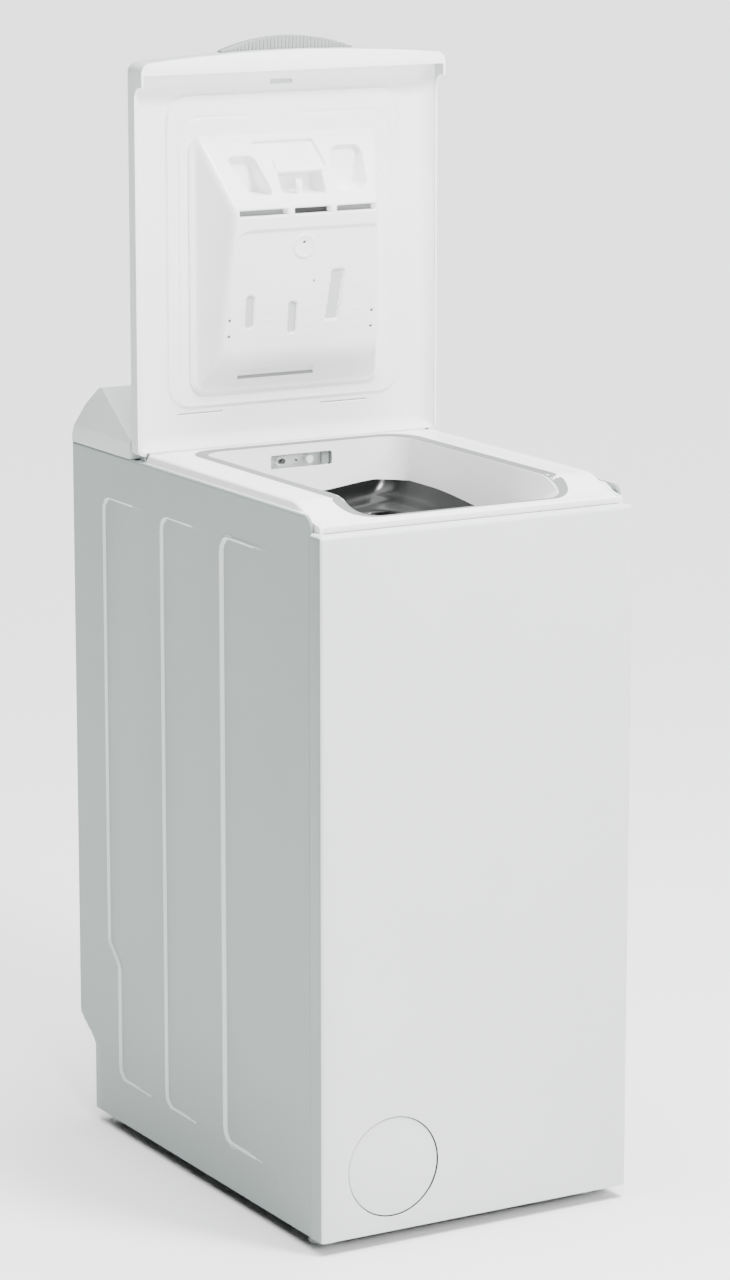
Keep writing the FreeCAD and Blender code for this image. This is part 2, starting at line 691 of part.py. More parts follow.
def spring_lugs():
    """Four lugs that the springs hook into, with the arm that joins each to the tub."""
    lugs = []
    for y, z in SPRING_PLACES:
        inward = 1 if y < DRUM_Y else -1
        for x in (-SPRING_X, SPRING_X):
            chord = math.sqrt(TUB_RADIUS ** 2 - (z - 10 - DRUM_Z) ** 2)
            arm = max(LUG_ARM, abs(y - DRUM_Y) - chord + TUB_WALL)
            y0, y1 = sorted((y - inward * 9, y + inward * arm))
            lug = box(x - 8, x + 8, y0, y1, z - 30, z - 10)
            lugs.append(lug)
    return lugs


def motor_lugs():
    """Two hangers under the tub, which the motor is bolted to."""
    lugs = []
    for x in (-MOTOR_HALF + 12, MOTOR_HALF - 12):
        lugs.append(side_outline(
            [(MOTOR_Y - 60, MOTOR_Z + 76), (MOTOR_Y + 18, MOTOR_Z + MOTOR_RADIUS + GAP),
             (MOTOR_Y + 18, MOTOR_Z + MOTOR_RADIUS + 24), (MOTOR_Y - 20, MOTOR_Z + 160),
             (MOTOR_Y - 60, MOTOR_Z + 160)],
            x - 8, x + 8,
        ))
    return lugs


def bolt_circle():
    """(y, z) of the bolts that hold the tub halves together, clear of the neck."""
    places = []
    radius = TUB_RADIUS + 4.5
    for side in (-1, 1):
        for number in range(5):
            angle = math.radians(-60 + 27.5 * number)
            places.append((DRUM_Y + side * radius * math.cos(angle),
                           DRUM_Z + radius * math.sin(angle)))
    return places


def tub_left():
    return tub().common(box(-WIDTH, 0, -DEPTH, DEPTH, 0, 2 * SIDE_TOP))


def tub_right():
    return tub().common(box(0, WIDTH, -DEPTH, DEPTH, 0, 2 * SIDE_TOP))


def tub_bolts():
    """Hexagon bolts through the two tub flanges."""
    bolts = []
    for y, z in bolt_circle():
        head = rod(7 + GAP, y, z, (1, 0, 0), 4, 4.2)
        bolts.append(head.fuse(rod(-9, y, z, (1, 0, 0), 17, 2.4)))
    return Part.makeCompound(bolts)


def counterweight(start, stop):
    """A concrete block that follows the tub between two angles from straight up."""
    ring = drum_rod(-96, -12, TUB_RADIUS + 44, TUB_RADIUS + GAP)
    right = drum_rod(12, 96, TUB_RADIUS + 44, TUB_RADIUS + GAP)
    bridge = drum_rod(-13, 13, TUB_RADIUS + 44, TUB_RADIUS + 14)
    block = join([ring, right, bridge])
    reach = 2 * TUB_RADIUS
    sector = [Vector(-WIDTH, DRUM_Y, DRUM_Z)]
    for angle in (start, (start + stop) / 2, stop):
        turn = math.radians(angle)
        sector.append(Vector(
            -WIDTH, DRUM_Y + reach * math.sin(turn), DRUM_Z + reach * math.cos(turn)))
    return block.common(rounded_face(sector, 0.0).extrude(Vector(2 * WIDTH, 0, 0)))


def counterweights():
    return Part.makeCompound([counterweight(-58, -40), counterweight(34, 62)])


def heater():
    """Tubular heating element in the sump, with its flange and two terminals."""
    z = DRUM_Z - TUB_RADIUS - SUMP_DEPTH / 2
    rods = []
    for x in (-18, 18):
        rods.append(rod(x, SUMP_FRONT - 8, z, (0, 1, 0), SUMP_REAR - SUMP_FRONT - 12, 3.5))
    back = SUMP_REAR - 20
    rods.append(rod(-18, back, z, (1, 0, 0), 36, 3.5))
    plate = box(-30, 30, SUMP_FRONT - GAP - 3, SUMP_FRONT - GAP, z - 9, z + 9)
    return join(rods + [plate])


def heater_room():
    """The holes in the sump wall that the element passes through."""
    z = DRUM_Z - TUB_RADIUS - SUMP_DEPTH / 2
    return [rod(x, SUMP_FRONT - 2, z, (0, 1, 0), 8, 3.5 + GAP) for x in (-18, 18)]


def bearings():
    """Two ball bearings, shown as their outer and inner rings together."""
    seat = TUB_HALF + HUB_LENGTH - BEARING_WIDTH
    rings = []
    for x0 in (-TUB_HALF - HUB_LENGTH, seat):
        ring = drum_rod(x0, x0 + BEARING_WIDTH, BEARING_RADIUS, SHAFT_RADIUS + RUNNING)
        groove = drum_rod(x0 - 1, x0 + 1.5, 22.0, 17.0)
        rings.append(ring.cut(groove))
    return Part.makeCompound(rings)


def suspension_springs():
    """Four coil springs, shown as their outer tube, with a hook at each end."""
    springs = []
    for y, z in SPRING_PLACES:
        for x in (-SPRING_X, SPRING_X):
            low = z - 10 + GAP
            high = BEAM_Z - GAP
            coil = rod(x, y, low + 14, (0, 0, 1), high - low - 28, 11.0, 8.0)
            caps = [rod(x, y, low + 12, (0, 0, 1), 4, 11.0), rod(x, y, high - 16, (0, 0, 1), 4, 11.0)]
            hooks = [rod(x, y, low, (0, 0, 1), 13, 2.5), rod(x, y, high - 13, (0, 0, 1), 13, 2.5)]
            springs.append(join([coil] + caps + hooks))
    return Part.makeCompound(springs)


def damper_top(y):
    """Height of the tub's underside above the dampers."""
    return DRUM_Z - math.sqrt(TUB_RADIUS ** 2 - (y - DRUM_Y) ** 2)


def damper_cylinders():
    low = BASE_TOP + 6 + GAP
    return Part.makeCompound([
        rod(x, y, low, (0, 0, 1), 78, 15.0, 11.0).fuse(rod(x, y, low, (0, 0, 1), 5, 15.0))
        for x, y in DAMPER_PLACES
    ])


def damper_rods():
    low = BASE_TOP + 36
    rods = []
    for x, y in DAMPER_PLACES:
        piston = rod(x, y, low, (0, 0, 1), 14, 11.0 - GAP)
        stem = rod(x, y, low + 13, (0, 0, 1), damper_top(y) - 3 - low - 13, 5.0)
        head = rod(x, y, damper_top(y) - 18, (0, 0, 1), 12, 9.0)
        rods.append(join([piston, stem, head]).cut(
            drum_rod(-TUB_HALF, TUB_HALF, TUB_RADIUS + GAP)))
    return Part.makeCompound(rods)


# ---- motor, belt and pulleys ---------------------------------------------------------------------------
def motor_rod(x0, x1, radius, bore=0.0):
    return rod(x0, MOTOR_Y, MOTOR_Z, (1, 0, 0), x1 - x0, radius, bore)


def motor_housing():
    """Motor case with two end shields and its mounting feet."""
    case = motor_rod(-MOTOR_HALF, MOTOR_HALF, MOTOR_RADIUS, MOTOR_RADIUS - 12)
    shield = motor_rod(-MOTOR_HALF, -MOTOR_HALF + 5, MOTOR_RADIUS, MOTOR_SHAFT + RUNNING)
    back = motor_rod(MOTOR_HALF - 5, MOTOR_HALF, MOTOR_RADIUS, MOTOR_SHAFT + RUNNING)
    bosses = [
        motor_rod(-MOTOR_HALF - 10, -MOTOR_HALF + 1, 18.0, MOTOR_SHAFT + RUNNING),
        motor_rod(MOTOR_HALF - 1, MOTOR_HALF + 8, 18.0, MOTOR_SHAFT + RUNNING),
    ]
    return join([case, shield, back] + bosses)


def motor_rotor():
    """Rotor core on the motor's shaft."""
    core = motor_rod(-MOTOR_HALF + 14, MOTOR_HALF - 14, MOTOR_RADIUS - 14, MOTOR_SHAFT - 1)
    shaft = motor_rod(-SHAFT_END, MOTOR_HALF + 6, MOTOR_SHAFT)
    return join([core, shaft])


def belt_plane():
    """x of the pulleys' two faces."""
    left = -SHAFT_END
    return left, left + PULLEY_WIDTH


def motor_pulley():
    x0, x1 = belt_plane()
    wheel = motor_rod(x0, x1, MOTOR_PULLEY, MOTOR_SHAFT)
    for x in (x0, x1 - 1):
        wheel = wheel.fuse(motor_rod(x, x + 1, MOTOR_PULLEY + 2, MOTOR_SHAFT))
    return wheel.removeSplitter()


def drum_pulley():
    """Spoked driving wheel on the left end of the drum's shaft."""
    x0, x1 = belt_plane()
    rim = drum_rod(x0, x1, PULLEY_RADIUS, PULLEY_RADIUS - 8)
    hub = drum_rod(x0, x1, 26.0)
    spokes = []
    for number in range(6):
        spoke = box(x0 + 4, x1 - 4, DRUM_Y + 20, DRUM_Y + PULLEY_RADIUS - 4,
                    DRUM_Z - 7, DRUM_Z + 7)
        spoke.rotate(Vector(0, DRUM_Y, DRUM_Z), Vector(1, 0, 0), 60.0 * number)
        spokes.append(spoke)
    wheel = join([rim, hub] + spokes)
    return wheel.cut(drum_rod(x0 - 1, x1 + 1, SHAFT_RADIUS))


def drive_belt():
    """Flat ribbed belt round both pulleys."""
    x0, _ = belt_plane()
    x0 += (PULLEY_WIDTH - BELT_WIDTH) / 2
    x1 = x0 + BELT_WIDTH
    gap_y, gap_z = MOTOR_Y - DRUM_Y, MOTOR_Z - DRUM_Z
    span = math.hypot(gap_y, gap_z)

    def loop(extra):
        large, small = PULLEY_RADIUS + extra, MOTOR_PULLEY + extra
        lean = math.acos((large - small) / span)
        along = math.atan2(gap_z, gap_y)
        corners = []
        for centre_y, centre_z, radius, turn in (
            (DRUM_Y, DRUM_Z, large, along + lean), (MOTOR_Y, MOTOR_Z, small, along + lean),
            (MOTOR_Y, MOTOR_Z, small, along - lean), (DRUM_Y, DRUM_Z, large, along - lean),
        ):
            corners.append(Vector(
                x0, centre_y + radius * math.cos(turn), centre_z + radius * math.sin(turn)))
        runs = rounded_face(corners, 0.0).extrude(Vector(BELT_WIDTH, 0, 0))
        return join([runs, drum_rod(x0, x1, large), motor_rod(x0, x1, small)])

    return loop(GAP + BELT).cut(loop(GAP))


# ---- drum -------------------------------------------------------------------------------------------------
def drum_window(grow, start, stop):
    """The part of the drum's wall between two angles from straight up."""
    reach = DRUM_RADIUS + 20
    half = FLAP_HALF + grow
    points = [Vector(-half, DRUM_Y, DRUM_Z)]
    for angle in (start, (start + stop) / 2, stop):
        turn = math.radians(angle)
        points.append(Vector(
            -half, DRUM_Y + reach * math.sin(turn) / math.cos(math.radians(15)),
            DRUM_Z + reach * math.cos(turn) / math.cos(math.radians(15))))
    return rounded_face(points, 0.0).extrude(Vector(2 * half, 0, 0))


def drum_shell():
    """Rolled drum wall with the loading opening at the top."""
    wall = drum_rod(-DRUM_HALF, DRUM_HALF, DRUM_RADIUS, DRUM_RADIUS - SHEET)
    edge = math.degrees(1.0 / DRUM_RADIUS)
    return wall.cut(drum_window(1.0, -FLAP_ANGLE - edge, FLAP_ANGLE + edge))


def drum_ends():
    """Dished end discs that carry the shafts."""
    discs = []
    for side in (-1, 1):
        x0 = side * (DRUM_HALF - SHEET) if side < 0 else DRUM_HALF - SHEET - 2
        disc = drum_rod(x0, x0 + 2, DRUM_RADIUS - SHEET - GAP / 3)
        boss_x = x0 if side < 0 else x0 - 6
        boss = drum_rod(boss_x, boss_x + 8, 60.0)
        discs.append(disc.fuse(boss).removeSplitter())
    return Part.makeCompound(discs)


def drum_paddles():
    """Three lifting paddles inside the drum, away from the flaps."""
    paddles = []
    half = DRUM_HALF - 12
    root = DRUM_Z - DRUM_RADIUS + SHEET + GAP
    for angle in (-105, 0, 105):
        outline = [(DRUM_Y - 26, root - 2), (DRUM_Y + 26, root - 2), (DRUM_Y + 8, root + 46),
                   (DRUM_Y - 8, root + 46)]
        paddle = side_outline(outline, -half, half, [0, 0, 7, 7])
        paddle = paddle.common(drum_rod(-half, half, DRUM_RADIUS - SHEET - GAP))
        paddle.rotate(Vector(0, DRUM_Y, DRUM_Z), Vector(1, 0, 0), angle)
        paddles.append(paddle)
    return Part.makeCompound(paddles)


def drum_shafts():
    """Stub shafts; the left one carries the pulley."""
    inner = DRUM_HALF - SHEET
    left = drum_rod(-SHAFT_END + 1, -inner, SHAFT_RADIUS)
    left = left.fuse(drum_rod(-inner - 5, -inner, 45.0))
    right = drum_rod(inner, TUB_HALF + HUB_LENGTH - 1, SHAFT_RADIUS)
    right = right.fuse(drum_rod(inner, inner + 5, 45.0))
    return Part.makeCompound([left.removeSplitter(), right.removeSplitter()])


def drum_flap(start, stop):
    """Curved flap with a turned-in edge along its free side."""
    wall = drum_rod(-FLAP_HALF, FLAP_HALF, DRUM_RADIUS, DRUM_RADIUS - SHEET)
    return wall.common(drum_window(0.0, start, stop))


def drum_flap_front():
    slack = math.degrees(0.5 / DRUM_RADIUS)
    flap = drum_flap(-FLAP_ANGLE, -slack)
    return flap.cut(latch_rod(-4, 60, LATCH_RADIUS + GAP))


def drum_flap_rear():
    slack = math.degrees(0.5 / DRUM_RADIUS)
    return drum_flap(slack, FLAP_ANGLE)


LATCH_RADIUS = 11.0
LATCH_ANGLE = -6.0


def latch_rod(low, high, radius):
    """A short rod across the drum's wall at the latch button."""
    rod_ = rod(0, DRUM_Y, DRUM_Z + DRUM_RADIUS + low, (0, 0, 1), high - low, radius)
    rod_.rotate(Vector(0, DRUM_Y, DRUM_Z), Vector(1, 0, 0), -LATCH_ANGLE)
    return rod_


def flap_latch():
    """Push button that frees the two flaps, with its collar under the front flap."""
    button = latch_rod(-7, 3, LATCH_RADIUS)
    collar = latch_rod(-9, -6, LATCH_RADIUS + 4)
    return button.fuse(collar).removeSplitter()


# ---- lid -----------------------------------------------------------------------------------------------------
def lid_block(inset, y0, y1, low=0.0, high=2000.0):
    """The lid's front view, pulled in by inset, between two y and two z values."""
    half = HALF - inset
    crown = LID_CORNER_TOP + LID_CROWN - inset
    bow = (HALF ** 2 + LID_CROWN ** 2) / (2 * LID_CROWN) - inset
    turn, foot_turn = max(12.0 - inset, 2.0), max(8.0 - inset, 2.0)
    level = crown - bow + math.sqrt(bow ** 2 - (half - turn) ** 2)
    bottom = LID_BOTTOM + inset
    share = math.sqrt(0.5)

    def arc(*points):
        return Part.Arc(*[Vector(x, y0, z) for x, z in points]).toShape()

    def line(*points):
        return Part.LineSegment(*[Vector(x, y0, z) for x, z in points]).toShape()

    def upper(side):
        middle = (side * (half - turn + turn * share), level - turn + turn * share)
        return [(side * (half - turn), level), middle, (side * half, level - turn)]

    def lower(side):
        middle = (side * (half - foot_turn + foot_turn * share),
                  bottom + foot_turn - foot_turn * share)
        return [(side * half, bottom + foot_turn), middle, (side * (half - foot_turn), bottom)]

    edges = [
        arc(upper(-1)[0], (0, crown), upper(1)[0]),
        arc(*upper(1)),
        line(upper(1)[2], lower(1)[0]),
        arc(*lower(1)),
        line(lower(1)[2], lower(-1)[2]),
        arc(*reversed(lower(-1))),
        line(lower(-1)[0], upper(-1)[2]),
        arc(*reversed(upper(-1))),
    ]
    block = Part.Face(Part.Wire(edges)).extrude(Vector(0, y1 - y0, 0))
    return block.common(box(-WIDTH, WIDTH, y0 - 1, y1 + 1, low, high))


def lid_shell():
    """Outer lid: plate, skirt, front lip and the corners that hug the side panels."""
    outer_face = HINGE_Y + LID_FACE
    skirt = HINGE_Y - LID_SKIRT
    lip = HINGE_Y - LIP_DROP
    body = lid_block(0.0, skirt, outer_face)
    body = body.fuse(lid_block(0.0, lip, outer_face, LIP_INNER))
    ear_low = HINGE_Z + HINGE_Y - SEAM_Y - CORNER
    for side in (-1, 1):
        x = sorted((side * HALF, side * (HALF - LID_WALL)))
        ear = box(x[0], x[1], lip, skirt + 1, ear_low, LIP_INNER)
        body = body.fuse(ear)
    centre_y = HINGE_Y - (HINGE_Z - SIDE_TOP + CORNER)
    corner = rod(-WIDTH, centre_y, ear_low, (1, 0, 0), 2 * WIDTH, CORNER + 0.8)
    hollow = lid_block(LID_WALL, skirt - 1, outer_face - LID_PLATE, 0.0, LIP_INNER)
    body = body.cut(hollow).cut(corner.common(box(-WIDTH, WIDTH, 0, skirt, 0, 2000)))
    return body.cut(bracket_room()).cut(pin_room()).removeSplitter()


def pin_room():
    return rod(-BRACKET_X - 9, HINGE_Y, HINGE_Z, (1, 0, 0), 2 * (BRACKET_X + 9),
               PIN_RADIUS + RUNNING)


def bracket_room():
    """Slots in the lid that the hinge brackets stand in."""
    rooms = []
    half = BRACKET_SHEET / 2 + BRACKET_ROOM
    reach = BRACKET_RADIUS + BRACKET_ROOM
    for x in (-BRACKET_X, BRACKET_X):
        rooms.append(box(x - half, x + half, HINGE_Y - 20, HINGE_Y + 10,
                         HINGE_Z - 20, HINGE_Z + reach))
    return join(rooms)


def lid_liner():
    """Inner lid: a plate with a raised middle, the knuckles and the latch slot."""
    back = HINGE_Y + LID_FACE - LID_PLATE - GAP
    face = HINGE_Y - LINER_FACE
    pad = HINGE_Y - PAD_FACE
    inset = LID_WALL + GAP
    plate = lid_block(inset, face, back, 0.0, LIP_INNER - GAP)
    raised = slab_y(
        -PAD_HALF, PAD_HALF, HINGE_Z + PAD_LOW, HINGE_Z + PAD_HIGH, pad, face + 0.5, PAD_RADIUS
    )
    rails = []
    for side in (-1, 1):
        x = sorted((side * (HALF - inset), side * (HALF - inset - 4)))
        rails.append(box(x[0], x[1], HINGE_Y - 9, back, HINGE_Z + 34, LIP_INNER - 30))
        x = sorted((side * (BRACKET_X - 11), side * (HALF - inset)))
        rails.append(box(x[0], x[1], HINGE_Y - 5.5, back, LID_BOTTOM + inset, HINGE_Z + 14))
    liner = join([plate, raised] + rails).common(lid_block(inset, HINGE_Y - 20, back))
    liner = liner.cut(bracket_room())
    liner = liner.cut(pin_room())
    slot = box(LATCH_X - 14, LATCH_X + 14, face - 1, back + 1, LATCH_Z - 3, LATCH_Z + 3)
    return liner.cut(slot)


LATCH_X = -4.0
LATCH_Z = 1258.5


def latch_plate():
    """Steel striker set into the liner's slot."""
    back = HINGE_Y + LID_FACE - LID_PLATE - GAP
    return box(LATCH_X - 14 + GAP, LATCH_X + 14 - GAP, HINGE_Y - LINER_FACE + 0.6, back,
               LATCH_Z - 3 + GAP, LATCH_Z + 3 - GAP)


def hinge_pins():
    """Two steel pins, held in the liner's knuckles and turning in the brackets."""
    pins = []
    for x0 in (-BRACKET_X - 8, BRACKET_X - 8):
        pins.append(rod(x0, HINGE_Y, HINGE_Z, (1, 0, 0), 16, PIN_RADIUS))
    return Part.makeCompound(pins)


def hinge_brackets():
    """Two steel ears that stand in the trough behind the opening."""
    brackets = []
    for x in (-BRACKET_X, BRACKET_X):
        x0 = x - BRACKET_SHEET / 2
        ear = rod(x0, HINGE_Y, HINGE_Z, (1, 0, 0), BRACKET_SHEET, BRACKET_RADIUS)
        post = box(x0, x0 + BRACKET_SHEET, HINGE_Y - BRACKET_RADIUS, HINGE_Y + BRACKET_RADIUS,
                   TROUGH_Z + GAP, HINGE_Z)
        bore = rod(x0 - 1, HINGE_Y, HINGE_Z, (1, 0, 0), 4, PIN_RADIUS + RUNNING)
        brackets.append(join([ear, post]).cut(bore))
    return Part.makeCompound(brackets)


def lid_grip():
    """Lens-shaped grip that stands out in front of the lid's front edge."""
    crown = LID_CORNER_TOP + LID_CROWN
    bow = (HALF ** 2 + LID_CROWN ** 2) / (2 * LID_CROWN)
    y0 = HINGE_Y + LID_FACE - 1.5 - GRIP_THICK
    seat = Part.makeCylinder(bow + GAP / 3, GRIP_THICK, Vector(0, y0, crown - bow), Vector(0, 1, 0))
    curve = (GRIP_HALF ** 2 + GRIP_RISE ** 2) / (2 * GRIP_RISE)
    top = Vector(0, y0, crown + GRIP_RISE - curve)
    lens = Part.makeCylinder(curve, GRIP_THICK, top, Vector(0, 1, 0))
    lens = lens.common(box(-GRIP_HALF, GRIP_HALF, y0, y0 + GRIP_THICK, crown - 5, crown + 40))
    lens = lens.cut(seat)
    return lens


# ---- detergent dispenser ------------------------------------------------------------------------------------------
def tray_form(inset):
    """The tray's body without its flange, pulled in by inset."""
    base = HINGE_Y - TRAY_FACE + inset
    low = HINGE_Z + TRAY_LOW + BODY_LOW + inset
    chin = HINGE_Y - TRAY_FACE - CHIN_DEPTH + inset
    face = HINGE_Y - TRAY_FACE - BODY_DEPTH + inset
    lowest = HINGE_Z + TRAY_LOW
    points = [
        (base + 1, low),
        (base, low),
        (chin, lowest + CHIN_RISE + inset),
        (face, lowest + BROW_RISE),
        (base - 4 + inset / 2, lowest + BROW_TOP - 4 - inset),
        (base + 1, lowest + BROW_TOP - inset),
    ]
    block = side_outline(points, -WIDTH, WIDTH)
    half, lean = BODY_HALF - inset, BODY_SLANT
    front = HINGE_Y - TRAY_FACE - BODY_DEPTH
    plan = [
        Vector(-half, HINGE_Y, lowest - 50), Vector(half, HINGE_Y, lowest - 50),
        Vector(half - lean, front, lowest - 50), Vector(-half + lean, front, lowest - 50),
    ]
    return block.common(rounded_face(plan, 0.0).extrude(Vector(0, 0, 500)))


def dispenser_tray():
    """Removable detergent tray: flange, hollow body and three hopper mouths."""
    face = HINGE_Y - TRAY_FACE
    back = HINGE_Y - PAD_FACE - GAP
    low, high = HINGE_Z + TRAY_LOW, HINGE_Z + TRAY_HIGH - 57
    flange = slab_y(-TRAY_HALF, TRAY_HALF, low, low + TRAY_HIGH - TRAY_LOW, face, back,
                    TRAY_RADIUS)
    body = flange.fuse(tray_form(0.0)).cut(tray_form(TRAY_WALL))
    brow = low + BROW_RISE
    for x0, x1 in MOUTHS:
        mouth = box(x0, x1, face - BODY_DEPTH, face - 6, brow + 12, brow + 62)
        body = body.cut(mouth)
    for x in (-DIVIDER_X, DIVIDER_X):
        wall = box(x - TRAY_WALL / 2, x + TRAY_WALL / 2, face - BODY_DEPTH, face,
                   low + BODY_LOW, high + 40)
        body = body.fuse(wall.common(tray_form(0.5)))
    for x0, x1 in RINSE_SLOTS:
        body = body.cut(box(x0, x1, face - BODY_DEPTH - 2, face - BODY_DEPTH + 12,
                            brow - 7, brow + 2))
    return body.removeSplitter()


DIVIDER_X = 34.0
MOUTHS = [(-88.0, -44.0), (-28.0, 30.0), (47.0, 88.0)]
RINSE_SLOTS = [(-88.0, -24.0), (-16.0, 33.0), (40.0, 92.0)]


def softener_insert():
    """Siphon cup that hangs in the tray's middle mouth."""
    brow = HINGE_Z + TRAY_LOW + BROW_RISE
    face = HINGE_Y - TRAY_FACE
    half = DIVIDER_X - TRAY_WALL / 2 - GAP
    cup = box(-half, half, face - 34, face - 8, brow + 13, brow + 44)
    cup = cup.cut(box(-half + 2, half - 2, face - 40, face - 10, brow + 15, brow + 60))
    bar = box(-half, half, face - 20, face - 8, brow + 42, brow + 58)
    pin = rod(1, face - 28, brow + 14, (0, 0, 1), 18, 4.0)
    form = tray_form(TRAY_WALL + GAP)
    return join([cup, bar, pin]).common(form)


# ---- console --------------------------------------------------------------------------------------------------------
def console_form(inset):
    bottom = SIDE_TOP + GAP
    front = CONSOLE_FRONT + inset
    rear = REAR - inset
    top = SIDE_TOP + CONSOLE_RIDGE - inset
    lip = SIDE_TOP + CONSOLE_LIP - inset * math.tan(SLOPE / 2) - inset / 2
    profile = [
        (front, bottom), (front, lip), (CONSOLE_RIDGE_Y, top),
        (REAR - 16 - inset, top - 24), (rear, bottom + 8), (rear, bottom),
    ]
    radii = [0, 6, 10, 12, 0, 0]
    side = side_outline(profile, -WIDTH, WIDTH, radii)
    half = HALF - inset
    ends = [
        (-half, bottom), (-half, SIDE_TOP + 20), (-half + CONSOLE_LEAN, SIDE_TOP + CONSOLE_RIDGE + 6),
        (half - CONSOLE_LEAN, SIDE_TOP + CONSOLE_RIDGE + 6), (half, SIDE_TOP + 20), (half, bottom),
    ]
    return side.common(front_outline(ends, 0, DEPTH, [0, 8, 0, 0, 8, 0]))


DISPLAY_X = -109.0
DISPLAY_HALF = 49.0
DISPLAY_RISE = 20.0
SLOPE_MIDDLE = 0.5
BUTTON_X = (76.0, 122.0)


def console_housing():
    """Moulded console behind the lid, open below and cut for the controls."""
    shell = console_form(0.0).cut(console_form(WALL))
    window = slab_z(-DISPLAY_HALF - GAP, DISPLAY_HALF + GAP, -DISPLAY_RISE - GAP,
                    DISPLAY_RISE + GAP, -6, 6, 4.0)
    shell = shell.cut(on_slope(window, DISPLAY_X, SLOPE_MIDDLE))
    stem = rod(0, 0, -20, (0, 0, 1), 40, 6.0 + GAP)
    shell = shell.cut(on_slope(stem, 0, SLOPE_MIDDLE))
    for x in BUTTON_X:
        hole = rod(0, 0, -20, (0, 0, 1), 40, BUTTON_RADIUS + GAP)
        shell = shell.cut(on_slope(hole, x, SLOPE_MIDDLE))
    return shell


def display_window():
    """Dark lens set into the console's slope."""
    lens = slab_z(-DISPLAY_HALF, DISPLAY_HALF, -DISPLAY_RISE, DISPLAY_RISE, -WALL, 0.2, 4.0)
    return on_slope(lens, DISPLAY_X, SLOPE_MIDDLE)


def control_board():
    """Circuit board and its tray under the console's slope."""
    board = box(-169, 169, -26, 26, -16, -14.4)
    chips = [box(x, x + 22, -12, 10, -14.5, -11) for x in (-120, -84)]
    tray = box(-170, 170, -27, 27, -24, -16).cut(box(-168, 168, -25, 25, -22, -15))
    encoder = box(-10, 10, -10, 10, -14.5, -10)
    board = join([board, tray, encoder] + chips)
    return on_slope(board, 0, SLOPE_MIDDLE)


def program_knob():
    """Turning knob with its stem in the encoder."""
    skirt = Part.makeCone(KNOB_RADIUS, KNOB_RADIUS - 3, KNOB_HEIGHT, Vector(0, 0, 0.5))
    stem = rod(0, 0, -9.5, (0, 0, 1), 11, 6.0)
    mark = box(-1, 1, KNOB_RADIUS - 12, KNOB_RADIUS - 5, KNOB_HEIGHT, KNOB_HEIGHT + 1)
    return on_slope(join([skirt, stem, mark]), 0, SLOPE_MIDDLE)


def push_button(x):
    cap = rod(0, 0, -5, (0, 0, 1), 5 + BUTTON_TRAVEL + 0.7, BUTTON_RADIUS)
    collar = rod(0, 0, -5.5, (0, 0, 1), 2.2, BUTTON_RADIUS + 2)
    stem = rod(0, 0, -12, (0, 0, 1), 8, 2.0)
    return on_slope(join([cap, collar, stem]), x, SLOPE_MIDDLE)


# ---- drain, filter and rear connections --------------------------------------------------------------------------------
PUMP_FRONT = FRONT + 36


def drain_pump():
    """Pump with its filter housing towards the front and its motor behind."""
    housing = rod(FILTER_X, PUMP_FRONT, FILTER_Z, (0, 1, 0), 92, 34.0)
    bore = rod(FILTER_X, PUMP_FRONT - 1, FILTER_Z, (0, 1, 0), 70, CAP_RADIUS - 4)
    housing = housing.cut(bore)
    motor = rod(FILTER_X, PUMP_FRONT + 90, FILTER_Z, (0, 1, 0), 50, 26.0)
    foot_ = box(FILTER_X - 30, FILTER_X + 30, PUMP_FRONT + 10, PUMP_FRONT + 80,
                BASE_TOP - 5 + GAP, FILTER_Z - 20)
    foot_ = foot_.cut(rod(FILTER_X, PUMP_FRONT, FILTER_Z, (0, 1, 0), 92, 33.0))
    inlet = rod(FILTER_X + 20, PUMP_FRONT + 50, FILTER_Z, (1, 0, 0), 34, 15.0, 11.0)
    inlet = inlet.cut(rod(FILTER_X, PUMP_FRONT, FILTER_Z, (0, 1, 0), 92, 33.0))
    outlet = rod(FILTER_X - 10, PUMP_FRONT + 76, FILTER_Z + 20, (0, 0, 1), 32, 10.0, 7.0)
    outlet = outlet.cut(rod(FILTER_X, PUMP_FRONT, FILTER_Z, (0, 1, 0), 92, 33.0))
    return join([housing, motor, foot_, inlet, outlet])


def sump_hose():
    """Hose from the tub's sump down to the pump's inlet."""
    y = PUMP_FRONT + 50
    sump_y = (SUMP_FRONT + SUMP_REAR) / 2
    low = DRUM_Z - TUB_RADIUS - SUMP_DEPTH - 12
    points = [
        Vector(0, sump_y, low - GAP), Vector(0, sump_y, FILTER_Z), Vector(0, y, FILTER_Z),
        Vector(FILTER_X + 54 + GAP, y, FILTER_Z),
    ]
    return pipe(points, 26.0, 15.0, 12.0)


def outlet_hose():
    """Hose from the pump up the rear wall to the drain outlet."""
    x0 = FILTER_X - 10
    y0 = PUMP_FRONT + 76
    out_x, out_z, radius = REAR_HOLES[2]
    side_x = x0 - 21
    rear_y = REAR - REAR_INSET - 30
    low_z = MOTOR_Z - 32
    start = Vector(x0, y0, FILTER_Z + 52 + GAP)
    points = [
        start, Vector(x0, y0, FILTER_Z + 78), Vector(side_x, y0 + 68, FILTER_Z + 39),
        Vector(side_x, y0 + 168, low_z), Vector(side_x, rear_y - 33, low_z),
        Vector(side_x + 10, rear_y, low_z + 80), Vector(side_x + 10, rear_y, out_z - 60),
        Vector(out_x, rear_y, out_z), Vector(out_x, REAR - 1, out_z),
    ]
    return pipe(points, 14.0, radius - 2, radius - 5)


